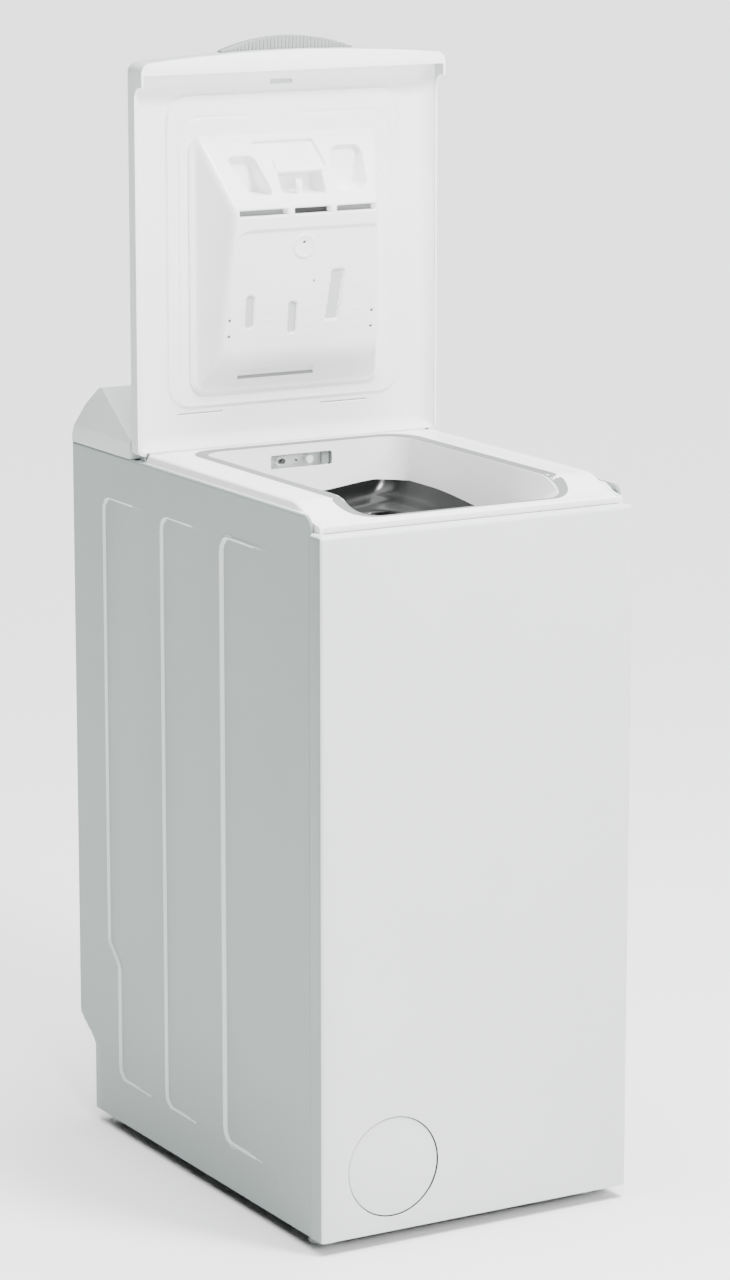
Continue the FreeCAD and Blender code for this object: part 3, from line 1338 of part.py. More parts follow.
def cord_gland():
    """Grommet where the mains lead would leave the rear panel."""
    x, z, radius = REAR_HOLES[1]
    face = REAR - REAR_INSET
    outside = rod(x, face + GAP, z, (0, 1, 0), 7, radius + 4)
    through = rod(x, face - 8, z, (0, 1, 0), 10, radius)
    inside = rod(x, face - 8, z, (0, 1, 0), 8 - SHEET - GAP, radius + 4)
    return join([outside, through, inside]).cut(rod(x, face - 20, z, (0, 1, 0), 40, 4.0))


def filter_cover():
    """Round service cover in the front panel, with a short skirt behind."""
    disc = rod(FILTER_X, FRONT, FILTER_Z, (0, 1, 0), 2, COVER_RADIUS)
    skirt = rod(FILTER_X, FRONT + 1.5, FILTER_Z, (0, 1, 0), 6, COVER_RADIUS - 2, COVER_RADIUS - 4)
    return disc.fuse(skirt).removeSplitter()


def filter_cap():
    """Screw cap of the drain filter, with its grip bar and basket."""
    y0 = PUMP_FRONT - 4 - GAP
    cap = rod(FILTER_X, y0, FILTER_Z, (0, 1, 0), 4, CAP_RADIUS)
    bar = box(FILTER_X - 24, FILTER_X + 24, y0 - 14, y0 + 1, FILTER_Z - 4, FILTER_Z + 4)
    basket = rod(FILTER_X, y0 + 3, FILTER_Z, (0, 1, 0), 60, CAP_RADIUS - 6, CAP_RADIUS - 9)
    return join([cap, bar, basket])


def panel_screws():
    """Screws that hold the rear panel to the side panels' flanges."""
    screws = []
    face = REAR - REAR_INSET
    for x in (-HALF + FLANGE + 6, HALF - FLANGE - 6):
        for number in range(5):
            z = FOOT_HEIGHT + NOTCH_HIGH + 30 + number * 160.0
            head = rod(x, face + GAP / 3, z, (0, 1, 0), 2.5, 4.0)
            screws.append(head)
    return Part.makeCompound(screws)


def tub_left_holed():
    solid = tub_left()
    for hole in heater_room():
        solid = solid.cut(hole)
    return solid


def tub_right_holed():
    solid = tub_right()
    for hole in heater_room():
        solid = solid.cut(hole)
    return solid


FOOT_NAMES = ["foot_front_left", "foot_front_right", "foot_rear_left", "foot_rear_right"]

PIECES = {
    "base_frame": base_frame,
    "side_panel_left": side_panel_left,
    "side_panel_right": side_panel_right,
    "front_panel": front_panel,
    "rear_panel": rear_panel,
    "cross_braces": cross_braces,
    "top_frame": top_frame,
    "throat": throat,
    "lid_seal": lid_seal,
    "bellows": bellows,
    "inlet_nozzle": inlet_nozzle,
    "inlet_hose": inlet_hose,
    "inlet_valve": inlet_valve,
    "door_lock": door_lock,
    "tub_left": tub_left_holed,
    "tub_right": tub_right_holed,
    "tub_bolts": tub_bolts,
    "counterweights": counterweights,
    "heater": heater,
    "bearings": bearings,
    "suspension_springs": suspension_springs,
    "damper_cylinders": damper_cylinders,
    "damper_rods": damper_rods,
    "motor_housing": motor_housing,
    "motor_rotor": motor_rotor,
    "motor_pulley": motor_pulley,
    "drum_pulley": drum_pulley,
    "drive_belt": drive_belt,
    "drum_shell": drum_shell,
    "drum_ends": drum_ends,
    "drum_paddles": drum_paddles,
    "drum_shafts": drum_shafts,
    "drum_flap_front": drum_flap_front,
    "drum_flap_rear": drum_flap_rear,
    "flap_latch": flap_latch,
    "lid_shell": lid_shell,
    "lid_liner": lid_liner,
    "lid_grip": lid_grip,
    "latch_plate": latch_plate,
    "hinge_pins": hinge_pins,
    "hinge_brackets": hinge_brackets,
    "dispenser_tray": dispenser_tray,
    "softener_insert": softener_insert,
    "console_housing": console_housing,
    "display_window": display_window,
    "control_board": control_board,
    "program_knob": program_knob,
    "drain_pump": drain_pump,
    "sump_hose": sump_hose,
    "outlet_hose": outlet_hose,
    "cord_gland": cord_gland,
    "filter_cover": filter_cover,
    "filter_cap": filter_cap,
    "panel_screws": panel_screws,
}


def write(name, shape):
    """Saves one piece and prints what it is."""
    solids = shape.Solids
    sound = all(s.isValid() for s in solids)
    print(f"{name}: {len(solids)} solid(s), {shape.Volume / 1000:.1f} cm3, valid {sound}")
    Part.makeCompound(solids).exportStep(f"parts/{name}.step")


os.makedirs("parts", exist_ok=True)
for piece_name, make in PIECES.items():
    write(piece_name, make())
for foot_name, (foot_x, foot_y) in zip(FOOT_NAMES, foot_places()):
    write(foot_name, foot(foot_x, foot_y))
for button_name, button_x in zip(("start_button", "option_button"), BUTTON_X):
    write(button_name, push_button(button_x))
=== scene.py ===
# %% [markdown]
# This lesson dresses a slim top loading washing machine whose lid stands open. The
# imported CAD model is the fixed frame: it says where each piece is and what it moves
# with. The scene adds the looks: smooth pressed steel, moulded plastic and rubber.

# %% Load the frame
import json
import math

import bmesh
import bpy
import numpy as np
from mathutils import Matrix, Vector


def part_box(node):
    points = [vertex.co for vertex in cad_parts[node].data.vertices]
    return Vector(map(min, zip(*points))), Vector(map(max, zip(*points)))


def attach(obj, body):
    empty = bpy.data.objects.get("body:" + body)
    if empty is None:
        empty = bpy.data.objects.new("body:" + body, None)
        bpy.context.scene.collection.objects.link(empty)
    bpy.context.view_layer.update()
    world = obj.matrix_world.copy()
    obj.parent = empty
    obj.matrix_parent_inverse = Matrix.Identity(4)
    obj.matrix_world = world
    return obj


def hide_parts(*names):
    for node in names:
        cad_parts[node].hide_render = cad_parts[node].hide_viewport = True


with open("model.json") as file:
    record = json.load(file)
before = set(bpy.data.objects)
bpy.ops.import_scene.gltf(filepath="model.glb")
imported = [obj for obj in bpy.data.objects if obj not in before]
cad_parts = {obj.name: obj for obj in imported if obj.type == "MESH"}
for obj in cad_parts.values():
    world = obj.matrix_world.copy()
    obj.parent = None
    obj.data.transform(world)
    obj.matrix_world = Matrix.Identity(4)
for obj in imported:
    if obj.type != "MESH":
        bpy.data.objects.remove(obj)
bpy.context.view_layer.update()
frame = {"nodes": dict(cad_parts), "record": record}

# %% [markdown]
# Camera first, because everything is judged from it. It stands to the left of the
# front and higher than the open lid, with a long lens, and has no shift.

# %% Camera
MM = 0.001
CAMERA_PLACE = (-2.390, -4.188, 1.648)
CAMERA_YAW = 30.0
CAMERA_PITCH = 12.0
CAMERA_LENS = 119.6
SENSOR_HIGH = 36.0


def linked(name, data):
    """A new object in the scene."""
    item = bpy.data.objects.new(name, data)
    bpy.context.scene.collection.objects.link(item)
    return item


camera_data = bpy.data.cameras.new("camera")
camera_data.lens = CAMERA_LENS
camera_data.sensor_fit = "VERTICAL"
camera_data.sensor_height = SENSOR_HIGH
camera = linked("camera", camera_data)
camera.location = CAMERA_PLACE
camera.rotation_euler = (math.radians(90 - CAMERA_PITCH), 0, math.radians(-CAMERA_YAW))
bpy.context.scene.camera = camera

# %% [markdown]
# Every finish is a node tree on Object coordinates, so its grain has a real size in
# metres. One function makes the tree, and each finish only says what it is made of:
# a colour, how much it varies, how rough it is and how its surface ripples.

# %% Finishes
COAT_ROUGH = 0.12


def socket(node, name, value):
    node.inputs[name].default_value = value


def finish(name, colour, rough, vary=0.02, patch=9.0, grain=900.0, bump=0.02,
           metallic=0.0, coat=0.0, stretch=(1, 1, 1), rough_vary=0.05, spec=0.5,
           depth=0.0002):
    """A procedural material: broad colour drift, fine grain in bump and roughness."""
    material = bpy.data.materials.new(name)
    material.use_nodes = True
    nodes, links = material.node_tree.nodes, material.node_tree.links
    shader = nodes["Principled BSDF"]
    place = nodes.new("ShaderNodeTexCoord")
    turn = nodes.new("ShaderNodeMapping")
    socket(turn, "Scale", stretch)
    links.new(place.outputs["Object"], turn.inputs["Vector"])

    def noise(scale, detail):
        texture = nodes.new("ShaderNodeTexNoise")
        socket(texture, "Scale", scale)
        socket(texture, "Detail", detail)
        links.new(turn.outputs["Vector"], texture.inputs["Vector"])
        return texture.outputs["Fac"]

    drift = noise(patch, 3.0)
    tint = nodes.new("ShaderNodeValToRGB")
    dark = [max(c * (1 - vary), 0) for c in colour]
    light = [min(c * (1 + vary), 1) for c in colour]
    for stop, shade, position in zip(tint.color_ramp.elements, (dark, light), (0.3, 0.7)):
        stop.color = (*shade, 1)
        stop.position = position
    links.new(drift, tint.inputs["Fac"])
    links.new(tint.outputs["Color"], shader.inputs["Base Color"])
    fine = noise(grain, 2.0)
    spread = nodes.new("ShaderNodeMapRange")
    socket(spread, "To Min", rough - rough_vary)
    socket(spread, "To Max", rough + rough_vary)
    links.new(fine, spread.inputs["Value"])
    links.new(spread.outputs["Result"], shader.inputs["Roughness"])
    ripple = nodes.new("ShaderNodeBump")
    socket(ripple, "Strength", bump)
    socket(ripple, "Distance", depth)
    links.new(fine, ripple.inputs["Height"])
    links.new(ripple.outputs["Normal"], shader.inputs["Normal"])
    socket(shader, "Metallic", metallic)
    socket(shader, "Coat Weight", coat)
    socket(shader, "Coat Roughness", COAT_ROUGH)
    socket(shader, "Specular IOR Level", spec)
    return material


STEEL_WHITE = (0.66, 0.685, 0.675)
# The side enamel is the front's white enamel darkened: painted shade for the walls that turn away
# from the lamps.
STEEL_SHADED_SIDE = (0.235, 0.285, 0.272)
PLASTIC_WHITE = (0.90, 0.905, 0.90)
FINISHES = {
    "painted_steel": finish("enamel_front", STEEL_WHITE, 0.34, grain=420, bump=0.10, coat=0.25),
    "side_steel": finish("enamel_side_painted_shade", STEEL_SHADED_SIDE, 0.40, grain=420, bump=0.12, coat=0.15),
    "white_plastic": finish("moulded_white", PLASTIC_WHITE, 0.30, grain=1400, bump=0.05),
    # The console's white plastic is given a darker grey-green: painted shade.
    "console_plastic": finish("moulded_console_painted_shade", (0.56, 0.60, 0.585), 0.40, grain=1600, bump=0.10),
    "seal_rubber": finish("seal_grey", (0.17, 0.182, 0.178), 0.55, grain=2400, bump=0.15),
    "bellows_rubber": finish(
        "bellows_black", (0.003, 0.0034, 0.0034), 0.20, vary=0.2, grain=700, bump=0.03,
        spec=0.22),
    "grey_plastic": finish("moulded_grey", (0.24, 0.26, 0.255), 0.42, grain=1600, bump=0.12),
    "light_grey_plastic": finish(
        "moulded_light", (0.74, 0.76, 0.76), 0.40, grain=1600, bump=0.10),
    "tub_plastic": finish("tub_filled", (0.70, 0.70, 0.66), 0.55, vary=0.05, bump=0.2),
    "dark_lens": finish("lens_black", (0.010, 0.012, 0.014), 0.10, vary=0.1, bump=0.01, coat=0.6),
    "zinc_steel": finish(
        "zinc_plate", (0.50, 0.52, 0.54), 0.42, vary=0.04, patch=30, metallic=1.0,
        rough_vary=0.04),
    "stainless": finish(
        "brushed_stainless", (0.68, 0.69, 0.70), 0.28, grain=500, bump=0.25, metallic=1.0,
        stretch=(0.05, 1, 1)),
    "concrete": finish("cast_concrete", (0.42, 0.41, 0.39), 0.85, vary=0.15, patch=40,
                       grain=260, bump=0.8, depth=0.001),
    "cast_alloy": finish("cast_alloy", (0.60, 0.61, 0.62), 0.45, vary=0.05, bump=0.4,
                         metallic=1.0),
    "black_plastic": finish("moulded_black", (0.03, 0.03, 0.032), 0.5, bump=0.15),
    "belt_rubber": finish("plain_rubber", (0.025, 0.025, 0.026), 0.6, bump=0.2),
    "circuit_green": finish("circuit_green", (0.03, 0.16, 0.07), 0.4, vary=0.3, patch=120),
    "hose_grey": finish("hose_grey", (0.20, 0.21, 0.22), 0.5, bump=0.15),
}
WINDOW_GREY = finish("level_window", (0.50, 0.52, 0.51), 0.25, grain=1400, bump=0.04)
# Painted shade for slots, grooves and gaps; the same grey is also the lid grip's own colour.
SLOT_SHADE_AND_GRIP_GREY = finish("slot_shade_and_grip_grey", (0.26, 0.27, 0.27), 0.5, grain=1400, bump=0.04)
# Painted highlight: a paler enamel for the steep press edges of the side pockets.
PAINTED_PRESS_HIGHLIGHT = finish("press_edge_painted_highlight", (0.60, 0.645, 0.635), 0.34, grain=420, bump=0.08, coat=0.15)
# Painted shade: dark discs and faces stand for the dark inside of holes.
HOLE_SHADE = finish("hole_painted_shade", (0.06, 0.06, 0.06), 0.7, vary=0.2, bump=0.1)
SLOT_OF = {s["node"]: s["material_slot"] for s in frame["record"]["subparts"]}
BODY_OF = {
    node: body
    for body, members in frame["record"]["behaviour"]["bodies"].items()
    for node in members
}

for node, part in frame["nodes"].items():
    part.data.materials.clear()
    part.data.materials.append(FINISHES[SLOT_OF[node]])
print("finishes:", len(FINISHES))

# %% [markdown]
# Helpers. A pressed or moulded sheet is a height over a grid: where the grid lines
# are close, its steps are crisp. Signed distances to rounded rectangles draw the
# steps, so an embossed line, a groove and a recess are each one short expression.

# %% Drawing with distances
def lines(low, high, step, fine=()):
    """Grid lines from low to high, closer inside each (middle, reach, step)."""
    marks = [low]
    while marks[-1] < high - 1e-6:
        here, size = marks[-1], step
        for middle, reach, small in fine:
            start = middle - reach
            if start - 1e-6 <= here < middle + reach:
                size = min(size, small)
            elif here < start:
                size = min(size, max(start - here, small))
        marks.append(min(here + size, high))
    return np.array(marks)


def soft(value, low, high):
    """0 below low, 1 above high, and a smooth rise between."""
    t = np.clip((value - low) / (high - low), 0, 1)
    return t * t * (3 - 2 * t)


def rounded(a, b, low_a, high_a, low_b, high_b, radius):
    """Distance to a rounded rectangle's edge, negative inside."""
    qa = np.abs(a - (low_a + high_a) / 2) - (high_a - low_a) / 2 + radius
    qb = np.abs(b - (low_b + high_b) / 2) - (high_b - low_b) / 2 + radius
    outside = np.hypot(np.maximum(qa, 0), np.maximum(qb, 0))
    return outside + np.minimum(np.maximum(qa, qb), 0) - radius


def larger(a, b, blend):
    """The larger of two heights, with the crease between them rounded."""
    near = np.maximum(blend - np.abs(a - b), 0) / blend
    return np.maximum(a, b) + near * near * blend / 4


def pulled_in(a, b, low_a, high_a, low_b, high_b, radius):
    """Grid points outside a rounded rectangle, moved onto its edge."""
    mid_a = np.clip(a, low_a + radius, high_a - radius)
    mid_b = np.clip(b, low_b + radius, high_b - radius)
    reach = np.hypot(a - mid_a, b - mid_b)
    share = np.where(reach > radius, radius / np.maximum(reach, 1e-9), 1.0)
    return mid_a + (a - mid_a) * share, mid_b + (b - mid_b) * share


# %% [markdown]
# Meshes are made from plain lists of points in millimetres. Doubled points are
# merged, normals are worked out, and a sheet gets its back from its own rim.

# %% Making pieces
def as_piece(name, mesh, node=None, body=None, finish_name=None, material=None):
    """Links a mesh as a piece: it takes a node's place, or only rides on a body."""
    piece = linked(name, mesh)
    mesh.materials.clear()
    slot_name = finish_name or (SLOT_OF[node] if node else None)
    mesh.materials.append(material or FINISHES[slot_name])
    if node:
        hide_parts(node)
    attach(piece, body or BODY_OF[node])
    print(name, len(mesh.polygons), "faces")
    return piece


def to_mesh(name, points, faces, merge=0.01, sharp=None, outward=True):
    """A mesh from points in millimetres, merged, with its normals outwards."""
    mesh = bpy.data.meshes.new(name)
    mesh.from_pydata((np.asarray(points, float) * MM).tolist(), [], faces)
    work = bmesh.new()
    work.from_mesh(mesh)
    bmesh.ops.remove_doubles(work, verts=work.verts, dist=merge * MM)
    bmesh.ops.dissolve_degenerate(work, edges=work.edges, dist=merge * MM / 10)
    if outward:
        bmesh.ops.recalc_face_normals(work, faces=work.faces)
    work.to_mesh(mesh)
    work.free()
    mesh.shade_smooth()
    if sharp is not None:
        mesh.set_sharp_from_angle(angle=math.radians(sharp))
    return mesh


def grid_faces(rows, columns, closed=False):
    """Quads over a grid of points stored row by row."""
    faces = []
    last = columns if closed else columns - 1
    for i in range(rows - 1):
        for j in range(last):
            k = (j + 1) % columns
            faces.append((i * columns + j, i * columns + k,
                          (i + 1) * columns + k, (i + 1) * columns + j))
    return faces


def backed(mesh, axis, level):
    """Carries a sheet's rim to a level along an axis and closes it with a flat back."""
    work = bmesh.new()
    work.from_mesh(mesh)
    rim = [e for e in work.edges if e.is_boundary]
    made = bmesh.ops.extrude_edge_only(work, edges=rim)["geom"]
    for vert in [g for g in made if isinstance(g, bmesh.types.BMVert)]:
        vert.co[axis] = level * MM
    loop = [g for g in made if isinstance(g, bmesh.types.BMEdge) and g.is_boundary]
    bmesh.ops.contextual_create(work, geom=loop)
    bmesh.ops.recalc_face_normals(work, faces=work.faces)
    for edge in rim:
        edge.smooth = False
    for edge in loop:
        edge.smooth = False
    work.to_mesh(mesh)
    work.free()
    return mesh


def modified(mesh, kind, **settings):
    """The mesh with one modifier applied."""
    holder = linked("holder", mesh)
    modifier = holder.modifiers.new(kind, kind)
    for key, value in settings.items():
        setattr(modifier, key, value)
    graph = bpy.context.evaluated_depsgraph_get()
    result = bpy.data.meshes.new_from_object(holder.evaluated_get(graph), depsgraph=graph)
    bpy.data.objects.remove(holder)
    return result


def cut(mesh, cutter):
    """The mesh with another mesh's room taken out of it."""
    tool = linked("cutter", cutter)
    mesh = modified(mesh, "BOOLEAN", object=tool, operation="DIFFERENCE", solver="EXACT")
    bpy.data.objects.remove(tool)
    return mesh


def turned(name, profile, centre, axis, steps=64, sharp=40):
    """A turned piece: (radius, along) points in millimetres spun about an axis."""
    centre = np.array(centre, float)
    along = np.array(axis, float) / np.linalg.norm(axis)
    side = np.cross(along, (0, 0, 1) if abs(along[2]) < 0.9 else (0, 1, 0))
    side /= np.linalg.norm(side)
    other = np.cross(along, side)
    points = []
    for radius, reach in profile:
        for step in range(steps):
            angle = 2 * math.pi * step / steps
            spoke = side * math.cos(angle) + other * math.sin(angle)
            points.append(centre + along * reach + spoke * radius)
    return to_mesh(name, points, grid_faces(len(profile), steps, closed=True), sharp=sharp)


BROAD_FACE = 8000.0
MERGE = 0.02
LEVEL_ANGLE = 1.5
CREASE_ANGLE = 32


def softened(node, width, segments=2, angle=35, name=None):
    """A node's own shape with its sharp edges rounded over and its broad faces flat."""
    mesh = frame["nodes"][node].data.copy()
    work = bmesh.new()
    work.from_mesh(mesh)
    bmesh.ops.remove_doubles(work, verts=work.verts, dist=MERGE * MM)
    bmesh.ops.dissolve_limit(work, angle_limit=math.radians(LEVEL_ANGLE), verts=work.verts,
                             edges=work.edges)
    work.to_mesh(mesh)
    work.free()
    mesh = modified(mesh, "BEVEL", width=width * MM, segments=segments,
                    limit_method="ANGLE", angle_limit=math.radians(angle))
    mesh.shade_smooth()
    mesh.set_sharp_from_angle(angle=math.radians(CREASE_ANGLE))
    for face in mesh.polygons:
        if face.area > BROAD_FACE * MM ** 2:
            face.use_smooth = False
    return as_piece(name or node + "_finished", mesh, node)


def span(node):
    """A node's lowest and highest corner, in millimetres."""
    low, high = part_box(node)
    return np.array(low) / MM, np.array(high) / MM


# %% [markdown]
# Side panels. The real ones are pressed sheet: three long pockets, deepest at their
# rear line and running out to nothing towards the front, which stiffen the wall.
# A height over a grid gives the same soft press radius everywhere, and the rear
# pocket's jog is only its rear line moved by a smooth step. The steep press edges
# have a paler enamel, a painted highlight, so that the pockets are drawn in light lines.

# %% Side panels
POCKETS = 3
POCKET_DEEP = 3.0
POCKET_LENGTH = 105.0
POCKET_PITCH = 146.5
POCKET_TURN = 18.0
POCKET_MARGIN = 53.0
POCKET_BACK = 78.0
PRESS = 3.0
BEAD = 0.7
JOG = 26.0
JOG_RISE = 207.0
NOTCH_RISE = 97.0
ROLL = 2.2
EDGE_LEAN = 0.30
EDGE_CLEAR = 12.0
CORNER = 14.0
NOTCH = 38.0
NOTCH_BLEND = 18
JOG_BLEND = 17
BACK_GAP = 1.4

left_low, left_high = span("side_panel_left")
FOOT_ROOM = left_low[2]
SIDE_TOP = left_high[2]
HALF = -left_low[0]
REAR = left_high[1]
SEAM = left_low[1]


def panel_front(z):
    """The wall's front edge, which rounds back at the top."""
    lift = np.clip(z - (SIDE_TOP - CORNER), 0, CORNER)
    return SEAM + CORNER - np.sqrt(CORNER ** 2 - lift ** 2)


def panel_rear(z):
    """The wall's rear edge, which steps forward near the floor."""
    low, high = NOTCH_RISE - NOTCH_BLEND, NOTCH_RISE + NOTCH_BLEND
    return REAR - NOTCH * (1 - soft(z - FOOT_ROOM, low, high))


def pocket_depth(y, z):
    """How far the wall is pressed in, with a low bead along each pocket's edge."""
    depth = np.zeros_like(y)
    low, high = FOOT_ROOM + POCKET_MARGIN, SIDE_TOP - POCKET_MARGIN
    for number in range(POCKETS):
        line = REAR - POCKET_BACK - number * POCKET_PITCH
        across = y
        if number == 0:
            step = soft(z - FOOT_ROOM, JOG_RISE - JOG_BLEND, JOG_RISE + JOG_BLEND)
            across = y + JOG * (1 - step)
        edge = rounded(across, z, line - 4 * POCKET_LENGTH, line, low, high, POCKET_TURN)
        slope = np.clip((across - line) / POCKET_LENGTH + 1, 0, 1)
        depth = np.maximum(depth, POCKET_DEEP * slope * soft(-edge, 0, PRESS))
        bead = np.exp(-((edge - 1.2) / 1.5) ** 2) * BEAD * np.sqrt(slope)
        depth = depth - bead * (across < line + PRESS * 2)
    return depth


def side_panel(name, node, side):
    """One side wall: side is -1 for the left and 1 for the right."""
    lines_y = [REAR - POCKET_BACK - n * POCKET_PITCH for n in range(POCKETS)]
    fine_y = [(y, 4.2, 0.8) for y in lines_y + [lines_y[0] - JOG]]
    fine_y += [(y - 11, 13, 2.4) for y in lines_y + [lines_y[0] - JOG]]
    fine_y += [(SEAM, 16, 1.4), (REAR - NOTCH / 2, NOTCH / 2 + 2, 4.0), (REAR, 4, 1.0)]
    low, high = FOOT_ROOM + POCKET_MARGIN, SIDE_TOP - POCKET_MARGIN
    fine_z = [(low, 4.5, 0.8), (high, 4.5, 0.8), (low + 10, 12, 2.4), (high - 10, 12, 2.4)]
    fine_z += [(FOOT_ROOM + JOG_RISE, 22, 2.2), (FOOT_ROOM + NOTCH_RISE, 22, 2.0)]
    fine_z += [(SIDE_TOP, 16, 1.2)]
    y, z = np.meshgrid(lines(SEAM, REAR, 16, fine_y), lines(FOOT_ROOM, SIDE_TOP, 16, fine_z),
                       indexing="ij")
    y = np.clip(y, panel_front(z), panel_rear(z))
    rim = np.minimum.reduce([y - panel_front(z), SIDE_TOP - z, panel_rear(z) - y])
    lift = np.clip(ROLL - rim, 0, ROLL)
    roll = ROLL - np.sqrt(ROLL ** 2 - lift ** 2)
    x = side * (HALF - roll - pocket_depth(y, z))
    points = np.stack([x, y, z], -1).reshape(-1, 3)
    mesh = to_mesh(name, points, grid_faces(*y.shape))
    mesh = backed(mesh, 0, side * (HALF - POCKET_DEEP - BACK_GAP))
    as_piece(name, mesh, node)
    # The steep press edges get the paler enamel: a painted highlight.
    mesh.materials.append(PAINTED_PRESS_HIGHLIGHT)
    for face in mesh.polygons:
        _, y, z = np.array(face.center) / MM
        within = min(y - panel_front(z), SIDE_TOP - z, panel_rear(z) - y, z - FOOT_ROOM)
        steep = face.normal.y < -EDGE_LEAN or abs(face.normal.z) > EDGE_LEAN
        if within > EDGE_CLEAR and steep and face.normal.x * side > 0:
            face.material_index = 1


side_panel("side_wall_left", "side_panel_left", -1)
side_panel("side_wall_right", "side_panel_right", 1)

# %% [markdown]
# Front panel. One sheet wraps round both corners and rolls over at the top. Its
# section is the same path pulled in step by step, so a list of (height, pull) pairs
# makes the lower fold, the flat, the rolled top edge and the flange behind it. The
# service hole is cut with a Boolean, which keeps the big face flat. Where the sheet
# turns to the sides it has the sides' darker enamel, which is painted shade.

# %% Front panel
front_low, front_high = span("front_panel")
cover_low, cover_high = span("filter_cover")
FRONT = front_low[1]
FRONT_TOP = front_high[2]
FOLD = 4.0
TOP_ROLL = 5.0
FLANGE = 11.0
HOLE_GAP = 0.9
WRAP_TURN = 0.8
SHEET = 0.9
TURN_STEPS = 8
cover_middle = (cover_low + cover_high) / 2
cover_radius = (cover_high[0] - cover_low[0]) / 2
hole_radius = (cover_high[2] - cover_low[2]) / 2 + HOLE_GAP


def front_path(pull):
    """The panel's plan, from the left seam round the front to the right seam."""
    radius = max(FOLD - pull * 0.6, 1.2)
    half, front = HALF - pull, FRONT + pull
    path = [(-half, SEAM - 0.4), (-half, SEAM - 6)]
    for step in range(TURN_STEPS + 1):
        turn = math.radians(180 + 90 * step / TURN_STEPS)
        path.append((-half + radius + radius * math.cos(turn),
                     front + radius + radius * math.sin(turn)))
    return path + [(-x, y) for x, y in reversed(path)]


levels = [(FOOT_ROOM, FLANGE), (FOOT_ROOM, 1.6), (FOOT_ROOM + 0.5, 0.5), (FOOT_ROOM + 1.6, 0)]
for step in range(TURN_STEPS + 1):
    turn = math.radians(90 * step / TURN_STEPS)
    levels.append((FRONT_TOP - TOP_ROLL + TOP_ROLL * math.sin(turn),
                   TOP_ROLL - TOP_ROLL * math.cos(turn)))
levels.append((FRONT_TOP, FLANGE))
path_points = [(x, y, z) for z, pull in levels for x, y in front_path(pull)]
sheet_mesh = to_mesh("front", path_points, grid_faces(len(levels), len(front_path(0))),
                     sharp=50, outward=False)
sheet_mesh.flip_normals()
sheet_mesh = modified(sheet_mesh, "SOLIDIFY", thickness=SHEET * MM, offset=-1.0)
cutter = turned("cutter", [(0, -5), (hole_radius, -5), (hole_radius, 8), (0, 8)],
                (cover_middle[0], FRONT, cover_middle[2]), (0, 1, 0), steps=128)
sheet_mesh = cut(sheet_mesh, cutter)
sheet_mesh.set_sharp_from_angle(angle=math.radians(40))
as_piece("front_wall", sheet_mesh, "front_panel")
# Faces that turn to the sides get the side enamel: painted shade.
sheet_mesh.materials.append(FINISHES["side_steel"])
for face in sheet_mesh.polygons:
    if abs(face.normal.x) > WRAP_TURN:
        face.material_index = 1

# %% [markdown]
# Service cover. A turned disc with a soft edge that clips into the hole. The dark
# line round it is the real gap, not paint.

# %% Service cover
disc = [(0, 0), (cover_radius - 1.6, 0), (cover_radius - 0.5, 0.4), (cover_radius, 1.5),
        (cover_radius, 5.0), (cover_radius - 1.5, 7.0), (cover_radius - 4, 7.0),
        (cover_radius - 4, 2.5), (0, 2.5)]
as_piece("service_disc", turned("service_disc", disc, (cover_middle[0], FRONT, cover_middle[2]),
                                (0, 1, 0), steps=128), "filter_cover")

# %% [markdown]
# Top frame. It is a ring between the opening and the cabinet's edge, so it is made
# of loops: each is a rounded rectangle with the same number of points, spread from
# the opening outwards, and a height function lifts them into the ledge, the
# shoulder, the shallow groove and the slope at the front. The frame is narrower at
# its front corners, to leave room for the ears of the closed lid.

# %% Loops round the opening
def loop(low_x, high_x, low_y, high_y, radius, corner_steps=10, side_steps=24):
    """Points round a rounded rectangle, from the front left corner anticlockwise."""
    spots = [(high_x - radius, low_y + radius, -90), (high_x - radius, high_y - radius, 0),
             (low_x + radius, high_y - radius, 90), (low_x + radius, low_y + radius, 180)]
    corners = []
    for x, y, start in spots:
        corners.append([
            (x + radius * math.cos(math.radians(start + 90 * s / corner_steps)),
             y + radius * math.sin(math.radians(start + 90 * s / corner_steps)))
            for s in range(corner_steps + 1)])
    points = []
    for number, corner in enumerate(corners):
        points += corner
        ahead = corners[(number + 1) % 4][0]
        for step in range(1, side_steps):
            share = step / side_steps
            points.append((corner[-1][0] + (ahead[0] - corner[-1][0]) * share,
                           corner[-1][1] + (ahead[1] - corner[-1][1]) * share))
    return np.array(points)


frame_low, frame_high = span("top_frame")
seal_low, seal_high = span("lid_seal")
throat_low, throat_high = span("throat")
FRAME_TOP = frame_high[2]
LEDGE = SIDE_TOP - 0.5
SHOULDER_IN = 7.0
SHOULDER_TURN = 5.0
TROUGH_FRONT = 124.0
TROUGH_FLOOR = SIDE_TOP - 2.0
SLOPE_FROM = -226.0
SLOPE_KNEE = -266.0
KNEE_DROP = 16.0
SLOPE_BLEND = 6.0
SLOPE_TO = frame_low[1] + 4
SLOPE_DROP = 19.0
END_DROP = 1.5
HOLLOW_X, HOLLOW_SPREAD, HOLLOW_DEEP = 176, 5.0, 1.3
open_half = throat_high[0] + 0.3
open_front = throat_low[1] - 0.3
open_rear = throat_high[1] + 0.3


